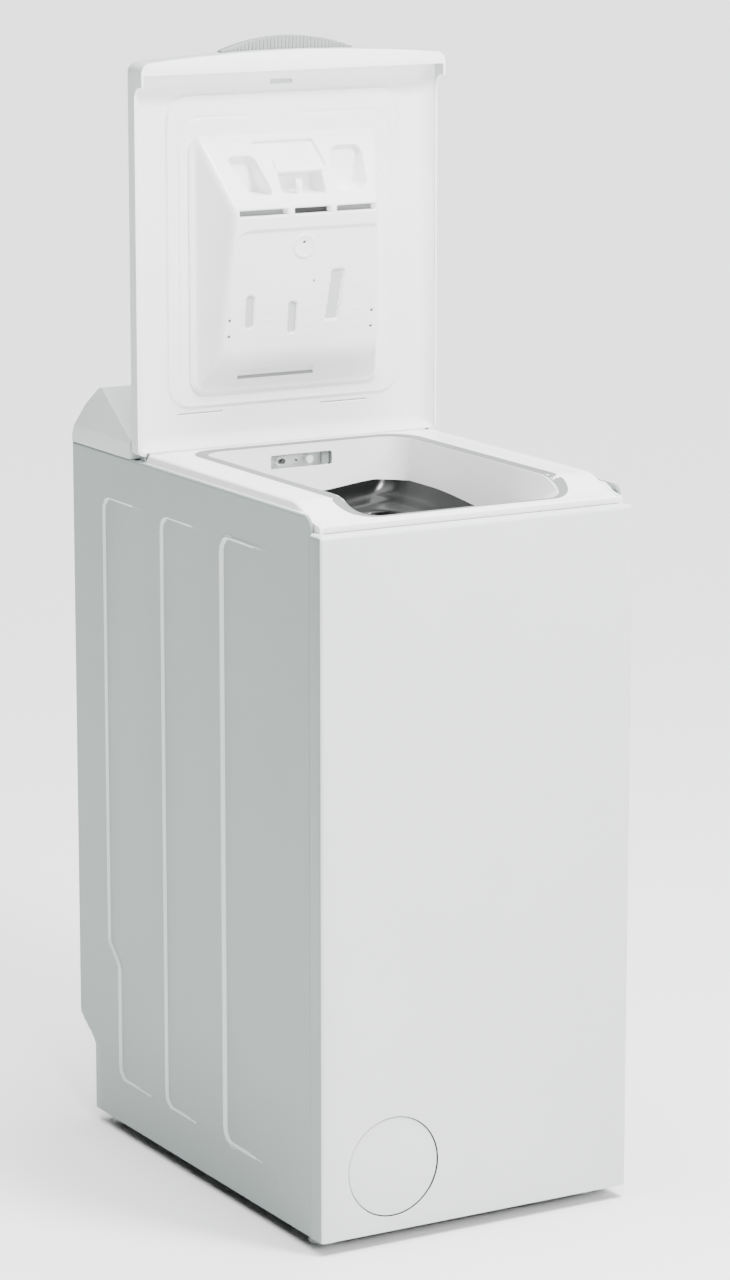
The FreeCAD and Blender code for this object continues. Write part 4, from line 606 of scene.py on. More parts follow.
def frame_height(x, y):
    """Height of the top frame's surface."""
    fall = KNEE_DROP * soft(-y, -SLOPE_FROM - SLOPE_BLEND, -SLOPE_KNEE + SLOPE_BLEND)
    rest = SLOPE_DROP - KNEE_DROP
    fall = fall + np.interp(-y, [-SLOPE_KNEE, -SLOPE_TO, -frame_low[1]],
                            [0, rest, rest + END_DROP])
    top = FRAME_TOP - fall
    hollow = np.exp(-((np.abs(x) - HOLLOW_X) / HOLLOW_SPREAD) ** 2) * HOLLOW_DEEP
    hollow = hollow * soft(-y, -SLOPE_FROM + 18, -SLOPE_FROM - 10)
    inner = frame_high[0] - SHOULDER_IN
    over = np.clip(np.abs(x) - (inner - SHOULDER_TURN), 0, SHOULDER_TURN)
    shoulder = SHOULDER_TURN - np.sqrt(SHOULDER_TURN ** 2 - over ** 2)
    raised = top - hollow - shoulder
    level = np.where(np.abs(x) > inner - 0.01, np.minimum(LEDGE, top), raised)
    drop = soft(y, TROUGH_FRONT - 3, TROUGH_FRONT)
    return level * (1 - drop) + np.minimum(level, TROUGH_FLOOR) * drop


EAR_ROOM = 5.0
EAR_FROM, EAR_TO = 258.5, 262.0
RING = 96
EDGE_TURN, RIM_DEEP, INNER_DEEP = 1.5, 15.0, 5.0
OPEN_TURN = 30.0
outer_loop = loop(frame_low[0], frame_high[0], frame_low[1], frame_high[1], 4.0,
                  side_steps=RING)
inner_loop = loop(-open_half, open_half, open_front, open_rear, OPEN_TURN, side_steps=RING)


def beside_ears(x, y):
    """Narrows the frame at the front, where the closed lid's ears come down."""
    limit = frame_high[0] - EAR_ROOM * soft(-y, EAR_FROM, EAR_TO)
    return np.clip(x, -limit, limit)


inner_share = (frame_high[0] - SHOULDER_IN - open_half) / (frame_high[0] - open_half)
shares = sorted({round(s, 4) for s in np.concatenate([
    np.linspace(0, 1, 25),
    inner_share + np.array([-0.10, -0.07, -0.045, -0.025, -0.010, 0.0, 0.004]),
])})
frame_points = []
for share in shares:
    ring = inner_loop * (1 - share) + outer_loop * share
    ring[:, 0] = beside_ears(ring[:, 0], ring[:, 1])
    heights = frame_height(ring[:, 0], ring[:, 1])
    frame_points += [(x, y, z) for (x, y), z in zip(ring, heights)]
rim = frame_points[-len(outer_loop):]
for drop in (EDGE_TURN, RIM_DEEP):
    frame_points += [(x, y, max(z - drop, frame_low[2])) for x, y, z in rim]
frame_points += [(x, y, frame_low[2]) for x, y, z in rim]
inside = frame_points[:len(inner_loop)]
frame_points = [(x, y, z - INNER_DEEP) for x, y, z in inside] + frame_points
rows = len(frame_points) // len(outer_loop)
frame_mesh = to_mesh("frame", frame_points, grid_faces(rows, len(outer_loop), closed=True),
                     sharp=38, outward=False)
as_piece("top_surround", frame_mesh, "top_frame")

# %% [markdown]
# Lid seal. A soft strip that lies in the frame all round the opening. It is wide at
# the rear and the sides and runs out thin along the front, and its two edges are
# rolled, so it catches light as rubber does.

# %% Lid seal
SEAL_STEPS = [(0.0, -2.0), (0.0, 0.1), (0.06, 0.6), (0.16, 0.9), (0.5, 1.0), (0.84, 0.9),
              (0.94, 0.6), (1.0, 0.1), (1.0, -2.0)]
seal_in = loop(-open_half + 0.4, open_half - 0.4, open_front + 0.4, open_rear - 0.4, 29.6)
seal_out = loop(seal_low[0], seal_high[0], open_front - 3.0, seal_high[1], 40.0)
SEAL_LIFT = 0.45
seal_points = []
for share, lift in SEAL_STEPS:
    ring = seal_in * (1 - share) + seal_out * share
    heights = frame_height(ring[:, 0], ring[:, 1]) + SEAL_LIFT * lift
    seal_points += [(x, y, z) for (x, y), z in zip(ring, heights)]
seal_mesh = to_mesh("seal", seal_points, grid_faces(len(SEAL_STEPS), len(seal_in), closed=True),
                    sharp=60, outward=False)
as_piece("seal_strip", seal_mesh, "lid_seal")

# %% [markdown]
# Throat. A smooth funnel whose lower edge waves: it dips at the rear and rises in
# the corners, as the real moulding does where the bellows is stretched over it. The
# water slot is cut with a Boolean.

# %% Throat
WALL = 2.5
TAPER = 5
THROAT_FRONT = -192
MOUTH_IN = 0.4 + WALL * 0.6
WAVE_LOW, WAVE_HIGH = 5, 13
throat_bottom = loop(-open_half + WALL + TAPER, open_half - WALL - TAPER, THROAT_FRONT + WALL,
                     open_rear - WALL - 3, OPEN_TURN)
throat_top = loop(-open_half + MOUTH_IN, open_half - MOUTH_IN, open_front + MOUTH_IN,
                  open_rear - MOUTH_IN, 28.5)


def throat_edge(x, y):
    """Height of the throat's waved lower edge."""
    wave = soft(np.abs(x), 10, 115) * soft(y, -120, 20)
    return throat_low[2] - WAVE_LOW + WAVE_HIGH * wave


throat_points = []
THROAT_ROWS = 16
for row in range(THROAT_ROWS + 1):
    share = row / THROAT_ROWS
    ring = throat_bottom * (1 - share) + throat_top * share
    top = frame_height(throat_top[:, 0] * 1.03, throat_top[:, 1] * 1.03) - 0.4
    base = throat_edge(throat_bottom[:, 0], throat_bottom[:, 1])
    heights = base * (1 - share) + np.minimum(top, FRAME_TOP) * share
    throat_points += [(x, y, z) for (x, y), z in zip(ring, heights)]
throat_mesh = to_mesh("throat", throat_points,
                      grid_faces(THROAT_ROWS + 1, len(throat_top), closed=True), outward=False)
throat_mesh.flip_normals()
throat_mesh = modified(throat_mesh, "SOLIDIFY", thickness=WALL * MM * 0.9, offset=-1.0)
SLOT_HALF = 41.0
SLOT_Z = (812.0, 828.0)
SLOT_TURN = 2.5


def rounded_block(name, low, high, radius, steps=6):
    """A block along Y with rounded corners, between two (x, y, z) corners."""
    outline = loop(low[0], high[0], low[2], high[2], radius, steps, 2)
    points = [(x, y, z) for y in (low[1], high[1]) for x, z in outline]
    count = len(outline)
    faces = grid_faces(2, count, closed=True)
    faces += [tuple(range(count)), tuple(range(count, 2 * count))]
    return to_mesh(name, points, faces, sharp=30)


throat_mesh = cut(throat_mesh, rounded_block(
    "slot_cutter", (-SLOT_HALF, open_rear - 20, SLOT_Z[0]),
    (SLOT_HALF, open_rear + 4, SLOT_Z[1]), SLOT_TURN))
throat_mesh.set_sharp_from_angle(angle=math.radians(45))
as_piece("throat_funnel", throat_mesh, "throat")

# %% [markdown]
# Bellows. The black rubber sleeve hangs from the throat to the tub. Its section is
# a list of (pull inwards, height) pairs that a spline rounds, so the folds roll in
# and out and carry long highlights.

# %% Bellows
bellows_low, bellows_high = span("bellows")
BELLOWS_SECTION = [(-3.0, 0.50), (-1.5, 0.36), (1.0, 0.20), (4.0, 0.05), (7.0, -0.07),
                   (11.0, -0.13), (16.0, -0.17), (18.5, -0.21), (16.5, -0.26), (11.0, -0.29),
                   (10.0, -0.33), (14.0, -0.37), (20.0, -0.41), (21.5, -0.46), (18.0, -0.52),
                   (14.0, -0.58), (12.0, -0.63)]
SLEEVE_GAP = 8
TUB_NECK_HALF = 112
SLEEVE_FRONT, SLEEVE_FRONT_IN = -190, 42


def smooth_path(knots, count):
    """Points along a Catmull-Rom curve through the knots."""
    knots = np.array(knots, float)
    ends = np.vstack([2 * knots[0] - knots[1], knots, 2 * knots[-1] - knots[-2]])
    out = []
    for i in range(len(knots) - 1):
        p0, p1, p2, p3 = ends[i:i + 4]
        for step in range(count):
            t = step / count
            out.append(0.5 * (2 * p1 + (p2 - p0) * t + (2 * p0 - 5 * p1 + 4 * p2 - p3) * t * t
                              + (3 * p1 - p0 - 3 * p2 + p3) * t ** 3))
    out.append(knots[-1])
    return np.array(out)


section = smooth_path(BELLOWS_SECTION, 6)
height_span = bellows_high[2] - bellows_low[2]
middle = (bellows_high[2] + bellows_low[2]) / 2
bellows_points = []
for pull, rise in section:
    share = np.clip((0.5 - rise) / 1.16, 0, 1)
    half = open_half - SLEEVE_GAP - (open_half - SLEEVE_GAP - TUB_NECK_HALF) * share
    front = SLEEVE_FRONT + SLEEVE_FRONT_IN * share
    rear = open_rear - 6 - 14 * share
    ring = loop(-half + pull, half - pull, front + pull, rear - pull, OPEN_TURN + 6 * share)
    wave = 10 * soft(0.5 - abs(rise), 0, 0.5) + 9 * soft(rise, 0.1, 0.5)
    edge = throat_edge(ring[:, 0] * 1.05, ring[:, 1])
    lift = (edge - throat_low[2] + WAVE_LOW) / WAVE_HIGH * wave
    for (x, y), up in zip(ring, lift):
        bellows_points.append((x, y, middle + rise * height_span + up))
bellows_mesh = to_mesh("bellows", bellows_points,
                       grid_faces(len(section), len(ring), closed=True), outward=False)
bellows_mesh = modified(bellows_mesh, "SOLIDIFY", thickness=WALL * MM, offset=1.0)
as_piece("bellows_sleeve", bellows_mesh, "bellows")

# %% [markdown]
# Lid. The outer shell keeps its CAD form with every edge rolled. The liner is a
# moulding with a swept valley inside the rim, a raised middle with a bead round it,
# a shallow groove and the slots near the hinge: again one height function. It is
# held a small gap above the frame that it meets when the lid is closed.

# %% Lid shell and liner
shell = softened("lid_shell", 2.2, segments=3, name="lid_outer")
shell.data.materials.append(FINISHES["white_plastic"])
for face in shell.data.polygons:
    if face.normal.y < -EDGE_LEAN:
        face.material_index = 1
liner_low, liner_high = span("lid_liner")
tray_low, tray_high = span("dispenser_tray")
LINER_FACE = 139.0
HINGE = (140.0, 843.0)
LID_GAP = 0.6
RIM_FACE = 128.2
VALLEY = 18.0
PAD_FACE = 137.0
PAD_HALF = 154.0
PAD_FLOOR = 887.0
PAD_ROOF = 1246.0
PAD_TURN = 28.0
GROOVE_HALF = 140.5
GROOVE_ROOF = 1221.0
HINGE_SLOTS = [(-142.0, -82.0), (48.0, 109.0)]
HINGE_SLOT_Z = 879.0
LATCH = (-18.0, 10.0, 1255.5, 1261.5)
PAD_BEAD, LINER_GROOVE, LINER_SLOT, LATCH_DEEP = 1.8, 1.5, 1.4, 1.5


def liner_depth(x, z):
    """The liner's surface, as y: smaller stands out more."""
    edge = rounded(x, z, liner_low[0], liner_high[0], liner_low[2], liner_high[2] + 1, 7.0)
    near = np.clip(1 + edge / VALLEY, 0, 1)
    face = LINER_FACE - (LINER_FACE - RIM_FACE) * near ** 2.6
    pad = rounded(x, z, -PAD_HALF, PAD_HALF, PAD_FLOOR, PAD_ROOF, PAD_TURN)
    face = face - (LINER_FACE - PAD_FACE) * soft(-pad, -2.0, 2.0)
    face = face - PAD_BEAD * np.exp(-((pad + 1.0) / 1.4) ** 2)
    groove = rounded(x, z, -GROOVE_HALF, GROOVE_HALF, PAD_FLOOR + 2, GROOVE_ROOF, 30.0)
    fade = 1 - np.exp(-((x + 10) / 45.0) ** 2) * (z > 1150)
    fade = fade * soft(z, 905, 960)
    face = face + LINER_GROOVE * fade * np.exp(-(groove / 1.3) ** 2)
    for low, high in HINGE_SLOTS:
        slot = rounded(x, z, low, high, HINGE_SLOT_Z - 0.9, HINGE_SLOT_Z + 0.9, 0.8)
        face = face + LINER_SLOT * soft(-slot, -0.5, 0.5)
    latch = rounded(x, z, *LATCH, 1.5)
    face = face + LATCH_DEEP * soft(-latch, -0.6, 0.8)
    closed_front = HINGE[0] - (z - HINGE[1])
    clear = frame_height(x, closed_front) + LID_GAP + HINGE[0] - HINGE[1]
    return np.maximum(face, clear)


x, z = np.meshgrid(
    lines(liner_low[0], liner_high[0], 3.0, [(s * PAD_HALF, 4, 0.9) for s in (-1, 1)]
          + [(s * GROOVE_HALF, 4, 0.9) for s in (-1, 1)]),
    lines(liner_low[2], liner_high[2], 3.0,
          [(PAD_FLOOR, 4, 0.9), (PAD_ROOF, 4, 0.9), (GROOVE_ROOF, 4, 0.9),
           (HINGE_SLOT_Z, 2.5, 0.5), ((LATCH[2] + LATCH[3]) / 2, 5, 0.8)]), indexing="ij")
x, z = pulled_in(x, z, liner_low[0], liner_high[0], liner_low[2], liner_high[2], 5.0)
liner_points = np.stack([x, liner_depth(x, z), z], -1).reshape(-1, 3)
liner_mesh = to_mesh("liner", liner_points, grid_faces(*x.shape))
liner_mesh = backed(liner_mesh, 1, liner_high[1])
as_piece("lid_inner", liner_mesh, "lid_liner")
# Painted shade: the hinge slots and the latch recess get the dark slot finish.
liner_mesh.materials.append(SLOT_SHADE_AND_GRIP_GREY)
for face in liner_mesh.polygons:
    x, y, z = np.array(face.center) / MM
    in_slot = any(low < x < high for low, high in HINGE_SLOTS)
    if in_slot and abs(z - HINGE_SLOT_Z) < 0.7 or rounded(x, z, *LATCH, 1.5) < -0.8:
        face.material_index = 1

# %% [markdown]
# Detergent tray. Its body is the room between a few sloping planes: the highest
# plane wins at each point, and a rounded maximum turns the creases into moulded
# edges. Mouths, slots and windows are then pressed in by distance.

# %% Detergent tray
TRAY_FACE = tray_high[1] - 2.7
BODY_FRONT = tray_low[1]
CHIN = (104.0, 945.0)
BROW_Z = 1116.0
BODY_HALF = 120.0
BODY_LEAN = 26.0
MOUTH_FLOOR = 128.0
RINSE = [(-88, -24), (-16, 33), (40, 92)]
RINSE_Z = (1109, 1117)
WINDOWS = [(0.0, -73, -61, 978, 1018), (0.0, -17, -5, 969, 1008), (0.10, 35, 54, 981, 1043)]
TICKS = [(-52, 978, 5), (2, 969, 5), (64, 976, 8)]
PINHOLES = [(-95, 990), (-95, 971), (95, 990), (95, 971), (16, 1030)]
WINDOW_MIDDLE, WINDOW_TURN = 1012, 5.0
TICK_PITCH = 9
TRAY_TURN = 20.0
SPOUT_X, SPOUT_Z, SPOUT_TILT = (-73, 28), (918, 929), 0.2
SIDE_LINE = (122.4, 125.4, 948, 1150, 1.4)
BOSS_Z, SCREW_Z = 1072, 1076


def tray_depth(x, z):
    """The tray's surface, as y: smaller stands out more."""
    base = tray_low[2]
    face = CHIN[0] + (BODY_FRONT - CHIN[0]) * (z - CHIN[1]) / (BROW_Z - CHIN[1])
    chin = TRAY_FACE - (z - base - 6) * (TRAY_FACE - CHIN[0]) / (CHIN[1] - base - 6)
    brow = BODY_FRONT + (z - BROW_Z) * (130 - BODY_FRONT) / (1195 - BROW_Z)
    sides = TRAY_FACE - (BODY_HALF - np.abs(x)) * (TRAY_FACE - BODY_FRONT) / BODY_LEAN
    recess = rounded(x, z, -92, 104, 900, 1094, 20.0)
    body = larger(face + 2.6 * soft(-recess, 0, 2.5), brow, 5.0)
    body = larger(body, chin, 9.0)
    body = larger(body, sides, 9.0)
    surface = -larger(-body, -np.full_like(body, TRAY_FACE), 6.0)
    rim = rounded(x, z, tray_low[0], tray_high[0], tray_low[2], tray_high[2], TRAY_TURN)
    surface = surface + 1.2 * soft(rim, -3.0, -0.2) - 0.6 * np.exp(-((rim + 4) / 1.6) ** 2)

    def press(edge, floor, wall):
        nonlocal surface
        surface = surface + (np.maximum(floor, surface) - surface) * soft(-edge, 0, wall)

    press(rounded(x - 0.3 * (1172 - z), z, -46, 38, 1158, 1192, 4.0), brow + 5, 3.0)
    surface = surface - 3.5 * soft(-rounded(x, z, -27, 35, 1155.5, 1172, 1.5), 0, 1.6)
    drop = (1176 - z) / 45
    left = rounded((x + 70 - 18 * drop) * 16 / (18 - 4 * drop), z, -16, 16, 1131, 1176, 7.0)
    press(left, MOUTH_FLOOR, 2.5)
    press(rounded(x, z, -27, 31, 1130, 1155, 4.0), MOUTH_FLOOR, 2.0)
    press(rounded(x - 0.12 * (z - 1157), z, 47, 90, 1131, 1183, 12.0), MOUTH_FLOOR, 2.5)
    for low, high in RINSE:
        press(rounded(x, z, low, high, *RINSE_Z, 1.5), BODY_FRONT + 12, 1.4)
    for tilt, *edges in WINDOWS:
        slanted = x - tilt * (z - WINDOW_MIDDLE)
        press(rounded(slanted, z, *edges, WINDOW_TURN), face + 5.5, 1.6)
    press(rounded(x + SPOUT_TILT * (z - 924), z, *SPOUT_X, *SPOUT_Z, 2.0), chin + 4, 2.0)
    for tick_x, first, count in TICKS:
        for number in range(count):
            here = first + number * TICK_PITCH
            tick = rounded(x, z, tick_x, tick_x + 15, here - 0.7, here + 0.7, 0.6)
            surface = surface - 0.45 * soft(-tick, -0.6, 0.6)
    surface = surface + 2.2 * soft(-rounded(x, z, *SIDE_LINE), -0.6, 0.6)
    boss = np.hypot(x, z - BOSS_Z)
    surface = surface - 1.6 * soft(-boss, -15.5, -13.5) + 0.9 * soft(-boss, -11.5, -9.5)
    surface = surface + 2.5 * soft(-np.hypot(x, z - SCREW_Z), -2.6, -1.6)
    for spot_x, spot_z in PINHOLES:
        spot = np.hypot(x - spot_x, z - spot_z)
        surface = surface + 1.6 * soft(-spot, -1.9, -1.0)
    return surface


def tray_shade(x, z):
    """Which finish each part of the tray has: white, window, slot shade or hole shade, the last
    two painted shade.
    """
    shade = np.zeros(x.shape, int)
    for tilt, *edges in WINDOWS:
        slanted = x - tilt * (z - WINDOW_MIDDLE)
        shade[rounded(slanted, z, *edges, WINDOW_TURN) < -1.0 - 12 * tilt] = 1
    for number, (low, high) in enumerate(RINSE):
        shade[rounded(x, z, low, high, *RINSE_Z, 1.5) < -1.2] = 3 if number == 1 else 2
    shade[rounded(x + SPOUT_TILT * (z - 924), z, *SPOUT_X, SPOUT_Z[0], 920.6, 1.0) < 0.1] = 2
    shade[rounded(x, z, *SIDE_LINE) < -0.2] = 2
    for spot_x, spot_z in PINHOLES + [(0, SCREW_Z)]:
        shade[np.hypot(x - spot_x, z - spot_z) < 1.5] = 3
    return shade


TRAY_GRID = 1.25
x, z = np.meshgrid(lines(tray_low[0], tray_high[0], TRAY_GRID),
                   lines(tray_low[2], tray_high[2], TRAY_GRID), indexing="ij")
x, z = pulled_in(x, z, tray_low[0], tray_high[0], tray_low[2], tray_high[2], TRAY_TURN)
tray_points = np.stack([x, tray_depth(x, z), z], -1).reshape(-1, 3)
tray_mesh = to_mesh("tray", tray_points, grid_faces(*x.shape))
tray_mesh = backed(tray_mesh, 1, tray_high[1])
as_piece("detergent_tray", tray_mesh, "dispenser_tray")
for extra in (WINDOW_GREY, SLOT_SHADE_AND_GRIP_GREY, HOLE_SHADE):
    tray_mesh.materials.append(extra)
# Slots, the spout line, the side gap and the holes get painted shade.
centres = np.array([face.center for face in tray_mesh.polygons]) / MM
shades = tray_shade(centres[:, 0], centres[:, 2]) * (centres[:, 1] < TRAY_FACE)
tray_mesh.polygons.foreach_set("material_index", shades.astype(np.int32))

# %% [markdown]
# Repeated things are made with Geometry Nodes. One tree repeats a source mesh along
# a line or about the X axis, and another bends a wire into a coil at each point.
# Their inputs are set before the first look, then the result becomes a mesh.

# %% Geometry Nodes helpers
def node_tree(name, sockets):
    """An empty tree with a geometry output and named inputs."""
    tree = bpy.data.node_groups.new(name, "GeometryNodeTree")
    tree.interface.new_socket("Geometry", in_out="INPUT", socket_type="NodeSocketGeometry")
    for label, kind in sockets:
        tree.interface.new_socket(label, in_out="INPUT", socket_type="NodeSocket" + kind)
    tree.interface.new_socket("Geometry", in_out="OUTPUT", socket_type="NodeSocketGeometry")
    return tree, tree.nodes.new("NodeGroupInput"), tree.nodes.new("NodeGroupOutput")


def grown(name, tree, source, values):
    """A mesh made by a tree from a source mesh and named input values."""
    holder = linked("holder", source)
    modifier = holder.modifiers.new("grow", "NODES")
    modifier.node_group = tree
    for item in tree.interface.items_tree:
        if item.in_out == "INPUT" and item.name in values:
            modifier[item.identifier] = values[item.name]
    graph = bpy.context.evaluated_depsgraph_get()
    mesh = bpy.data.meshes.new_from_object(holder.evaluated_get(graph), depsgraph=graph)
    holder.modifiers.remove(modifier)
    bpy.data.objects.remove(holder)
    mesh.name = name
    return mesh


def stood(tree, given, out, points, instance):
    """Stands an instance on each point, makes it real and gives it its finish."""
    place = tree.nodes.new("GeometryNodeInstanceOnPoints")
    real = tree.nodes.new("GeometryNodeRealizeInstances")
    paint = tree.nodes.new("GeometryNodeSetMaterial")
    for source, target in [
        (points, place.inputs["Points"]), (instance, place.inputs["Instance"]),
        (place.outputs["Instances"], real.inputs["Geometry"]),
        (real.outputs["Geometry"], paint.inputs["Geometry"]),
        (given["Material"], paint.inputs["Material"]),
        (paint.outputs["Geometry"], out.inputs["Geometry"]),
    ]:
        tree.links.new(source, target)
    return place


row_tree, row_in, row_out = node_tree("row_of", [
    ("Count", "Int"), ("Step", "Vector"), ("Turn", "Float"), ("Material", "Material")])
row_given = row_in.outputs
line = row_tree.nodes.new("GeometryNodeMeshLine")
index = row_tree.nodes.new("GeometryNodeInputIndex")
angle = row_tree.nodes.new("ShaderNodeMath")
angle.operation = "MULTIPLY"
spin = row_tree.nodes.new("ShaderNodeCombineXYZ")
row_place = stood(row_tree, row_given, row_out, line.outputs["Mesh"], row_given["Geometry"])
for source, target in [
    (row_given["Count"], line.inputs["Count"]), (row_given["Step"], line.inputs["Offset"]),
    (index.outputs["Index"], angle.inputs[0]), (row_given["Turn"], angle.inputs[1]),
    (angle.outputs["Value"], spin.inputs["X"]),
    (spin.outputs["Vector"], row_place.inputs["Rotation"]),
]:
    row_tree.links.new(source, target)

coil_tree, coil_in, coil_out = node_tree("coil_of", [
    ("Turns", "Float"), ("Radius", "Float"), ("Height", "Float"), ("Wire", "Float"),
    ("Material", "Material")])
spiral = coil_tree.nodes.new("GeometryNodeCurveSpiral")
socket(spiral, "Resolution", 20)
wire = coil_tree.nodes.new("GeometryNodeCurvePrimitiveCircle")
socket(wire, "Resolution", 8)
tube = coil_tree.nodes.new("GeometryNodeCurveToMesh")
coil_given = coil_in.outputs
for source, target in [
    (coil_given["Turns"], spiral.inputs["Rotations"]),
    (coil_given["Radius"], spiral.inputs["Start Radius"]),
    (coil_given["Radius"], spiral.inputs["End Radius"]),
    (coil_given["Height"], spiral.inputs["Height"]), (coil_given["Wire"], wire.inputs["Radius"]),
    (spiral.outputs["Curve"], tube.inputs["Curve"]),
    (wire.outputs["Curve"], tube.inputs["Profile Curve"]),
]:
    coil_tree.links.new(source, target)
stood(coil_tree, coil_given, coil_out, coil_given["Geometry"], tube.outputs["Mesh"])

# %% [markdown]
# Lid grip. A lens of grey plastic with fine upright ribs, so that wet fingers hold
# it. One rib is repeated in a row, then each rib's top is brought down to the lens.

# %% Lid grip
grip_low, grip_high = span("lid_grip")
grip_piece = softened("lid_grip", 0.8, name="grip_body")
RIB_PITCH = 4.8
RIB_WIDE = 2.5
GRIP_INSET = 6
CROWN_GAP = 0.6
rib_count = int((grip_high[0] - grip_low[0] - 2 * GRIP_INSET) / RIB_PITCH)
rib_source = rounded_block("rib", (0, grip_low[1] - 1.0, grip_low[2] - 3),
                           (RIB_WIDE, grip_low[1] + 1.5, grip_high[2] - 0.3), 0.3, 2)
rib_source.transform(Matrix.Translation((grip_low[0] * MM + GRIP_INSET * MM, 0, 0)))
ribs = grown("grip_ribs", row_tree, rib_source, {
    "Count": rib_count, "Step": (RIB_PITCH * MM, 0, 0), "Turn": 0.0,
    "Material": FINISHES["grey_plastic"]})
arc_half = (grip_high[0] - grip_low[0]) / 2
for vert in ribs.vertices:
    number = round((vert.co.x / MM - grip_low[0] - GRIP_INSET) / RIB_PITCH - 0.25)
    rib_x = grip_low[0] + GRIP_INSET + number * RIB_PITCH
    crown = grip_low[2] + (grip_high[2] - grip_low[2]) * (1 - (rib_x / arc_half) ** 2)
    if vert.co.z / MM > grip_low[2]:
        vert.co.z = (crown - CROWN_GAP) * MM
as_piece("grip_ribs", ribs, body=BODY_OF["lid_grip"], finish_name="grey_plastic")
grip_piece.data.materials[0] = SLOT_SHADE_AND_GRIP_GREY

# %% [markdown]
# Drum holes. Small pressed holes cover the drum wall in rows. Each is a short dark
# plug of painted shade for the hole: a row runs along the drum, and the row is turned about the
# axis.

# %% Drum holes
drum_low, drum_high = span("drum_shell")
drum_middle = (drum_low + drum_high) / 2
DRUM_RADIUS = (drum_high[1] - drum_low[1]) / 2
HOLE_PITCH = 18.0
HOLE_RADIUS = 1.8
HOLE_ROWS = 44
ROWS_ROUND = 60
ROW_TURN = 2 * math.pi / ROWS_ROUND
HOLE_MARGIN = 20
shade_plug = turned("shade_plug", [(0, -1.1), (HOLE_RADIUS, -1.1), (HOLE_RADIUS, 0.1), (0, 0.1)],
              (0, 0, DRUM_RADIUS), (0, 0, 1), steps=8)
holes_along = int((drum_high[0] - drum_low[0] - 2 * HOLE_MARGIN) / HOLE_PITCH)
row = grown("drum_row", row_tree, shade_plug, {
    "Count": holes_along, "Step": (HOLE_PITCH * MM, 0, 0), "Turn": 0.0, "Material": HOLE_SHADE})
holes = grown("drum_holes", row_tree, row, {
    "Count": HOLE_ROWS, "Step": (0, 0, 0), "Turn": ROW_TURN, "Material": HOLE_SHADE})
start = math.radians(180) - (HOLE_ROWS - 1) * ROW_TURN / 2
for vert in holes.vertices:
    y, z = vert.co.y, vert.co.z
    vert.co.x += (drum_middle[0] - (holes_along - 1) * HOLE_PITCH / 2) * MM
    vert.co.y = y * math.cos(start) - z * math.sin(start) + drum_middle[1] * MM
    vert.co.z = y * math.sin(start) + z * math.cos(start) + drum_middle[2] * MM
as_piece("drum_holes", holes, body="drum", finish_name="black_plastic", material=HOLE_SHADE)

# %% [markdown]
# Suspension springs. The tub hangs on four coils. The frame holds plain tubes for
# them, and each tube's box gives the coil its place, radius and length.

# %% Springs
COIL_TURNS = 16.0
COIL_WIRE = 1.2
SPRING_SPLIT = -20
spring_points = np.array([v.co for v in frame["nodes"]["suspension_springs"].data.vertices]) / MM
groups = {}
for point in spring_points:
    groups.setdefault((point[0] > 0, point[1] > SPRING_SPLIT), []).append(point)
roots = []
for members in groups.values():
    members = np.array(members)
    low, high = members.min(0), members.max(0)
    roots.append(((low[0] + high[0]) / 2, (low[1] + high[1]) / 2, low[2] + COIL_WIRE))
coil_outer = (high[0] - low[0]) / 2
spring_mesh = grown("coils", coil_tree, to_mesh("roots", roots, []), {
    "Turns": COIL_TURNS, "Radius": (coil_outer - COIL_WIRE) * MM,
    "Height": (high[2] - low[2] - 2 * COIL_WIRE) * MM, "Wire": COIL_WIRE * MM,
    "Material": FINISHES["zinc_steel"]})
spring_mesh.shade_smooth()
as_piece("spring_coils", spring_mesh, "suspension_springs")

# %% [markdown]
# Behind the slot in the throat lie the water jets: a round hole and a small pin hole,
# each a dark disc of painted shade, a round boss and a grey block at the right end of the nozzle.

# %% Water jets
JET_Y = open_rear + 1.5
JET_Z = 819.5
for name, x_place, radius in (("jet_hole", -22, 3.0), ("jet_pin", -4, 1.2)):
    disc = turned(name, [(0, 0), (radius, 0), (radius, 3), (0, 3)], (x_place, JET_Y, JET_Z),
                  (0, 1, 0), steps=24)
    as_piece(name, disc, body="cabinet", finish_name="black_plastic", material=HOLE_SHADE)
jet_block = rounded_block("jet_block", (29, JET_Y - 1, 813), (38, JET_Y + 3, 827), 1.5)
as_piece("jet_block", jet_block, body="cabinet", finish_name="grey_plastic")
jet_boss = turned("jet_boss", [(0, -1.5), (4.2, -1.5), (5.0, -0.6), (5.0, 3), (0, 3)],
                  (13, JET_Y, JET_Z), (0, 1, 0), steps=32)
as_piece("jet_boss", jet_boss, body="cabinet", finish_name="light_grey_plastic")

# %% [markdown]
# The other CAD nodes that show keep their form, with their edges rounded over.

# %% Rounded nodes
for node, width in {
    "console_housing": 2.5, "inlet_nozzle": 0.5, "softener_insert": 0.6, "program_knob": 1.2,
    "start_button": 0.5, "option_button": 0.5, "rear_panel": 0.5, "base_frame": 1.0,
    "display_window": 0.4, "hinge_brackets": 0.3, "drain_pump": 0.8,
    "filter_cap": 0.8, "motor_housing": 1.2, "drum_pulley": 0.8, "counterweights": 2.5,
    "door_lock": 0.6, "cord_gland": 0.6, "inlet_valve": 0.6, "foot_front_left": 0.8,
    "foot_front_right": 0.8, "foot_rear_left": 0.8, "foot_rear_right": 0.8,
}.items():
    softened(node, width)

# %% [markdown]
# Studio. A pale floor runs to the horizon, so it is also the backdrop. The world is
# a white tent that is bright overhead and dim on the left, which, with the painted
# shade in the side enamel, keeps the left wall a tone darker than the front. A key
# lamp and an edge lamp reach the front, and a nearer one the lid.

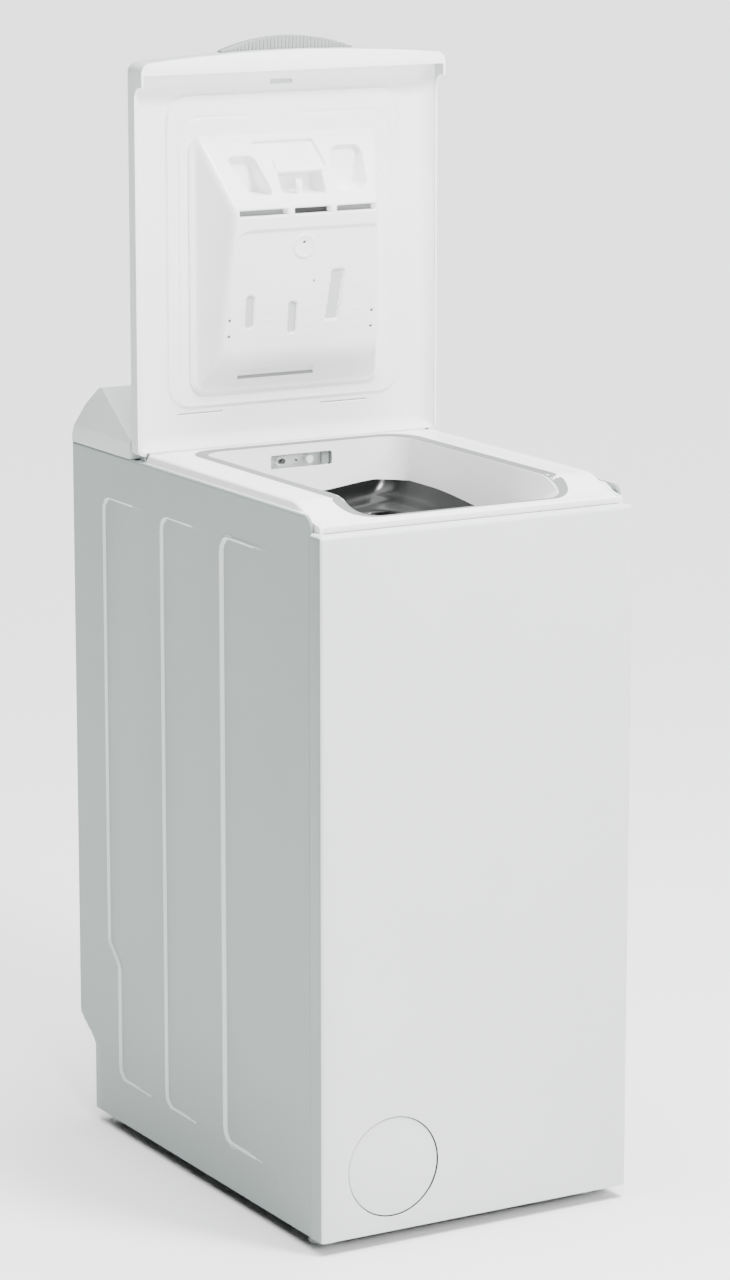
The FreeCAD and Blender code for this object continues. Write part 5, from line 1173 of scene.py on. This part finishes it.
# %% Floor and light
FLOOR_REACH = 60000
floor_mesh = to_mesh("floor", [(-FLOOR_REACH, -FLOOR_REACH, 0), (FLOOR_REACH, -FLOOR_REACH, 0),
                               (FLOOR_REACH, FLOOR_REACH, 0), (-FLOOR_REACH, FLOOR_REACH, 0)],
                     [(0, 1, 2, 3)])
floor = linked("floor", floor_mesh)
floor_mesh.materials.append(finish("floor_pale", (0.95, 0.95, 0.95), 0.9, vary=0.003,
                                   patch=1.0, bump=0.0))

LEFT_GLOW, RIGHT_GLOW, TOP_GLOW = 0.02, 0.5, 13.0
SIDE_BLEND = 0.6
OVERHEAD = 0.80
world = bpy.data.worlds.new("studio")
world.use_nodes = True
tree = world.node_tree
facing = tree.nodes.new("ShaderNodeTexCoord")
split = tree.nodes.new("ShaderNodeSeparateXYZ")
tree.links.new(facing.outputs["Generated"], split.inputs["Vector"])


def ramped(source, from_low, from_high, to_low, to_high):
    """World brightness that changes smoothly with one part of the direction."""
    node = tree.nodes.new("ShaderNodeMapRange")
    node.interpolation_type = "SMOOTHSTEP"
    for name, value in (("From Min", from_low), ("From Max", from_high),
                        ("To Min", to_low), ("To Max", to_high)):
        node.inputs[name].default_value = value
    tree.links.new(source, node.inputs["Value"])
    return node.outputs["Result"]


both = tree.nodes.new("ShaderNodeMath")
both.operation = "ADD"
tree.links.new(ramped(split.outputs["X"], -SIDE_BLEND, SIDE_BLEND, LEFT_GLOW, RIGHT_GLOW),
               both.inputs[0])
tree.links.new(ramped(split.outputs["Z"], OVERHEAD, 1.0, 0.0, TOP_GLOW), both.inputs[1])
tree.links.new(both.outputs[0], tree.nodes["Background"].inputs["Strength"])
tree.nodes["Background"].inputs["Color"].default_value = (1, 1, 1, 1)
bpy.context.scene.world = world


def lamp(name, place, aim, size, power):
    """A round area lamp that faces the aim point."""
    data = bpy.data.lights.new(name, "AREA")
    data.shape = "DISK"
    data.size = size
    data.energy = power
    lamp_object = linked(name, data)
    lamp_object.location = place
    away = np.array(aim, float) - np.array(place, float)
    yaw = math.atan2(away[0], away[1])
    lift = math.atan2(away[2], math.hypot(away[0], away[1]))
    lamp_object.rotation_euler = (math.radians(90) + lift, 0, -yaw)


lamp("key", (1.9, -4.2, 2.6), (0, 0, 0.5), 1.4, 110)
lamp("edge", (-1.1, -4.2, 2.0), (0, 0, 0.5), 0.5, 85)
lamp("lid_light", (0.25, -0.95, 2.45), (0, 0.05, 1.0), 0.35, 75)
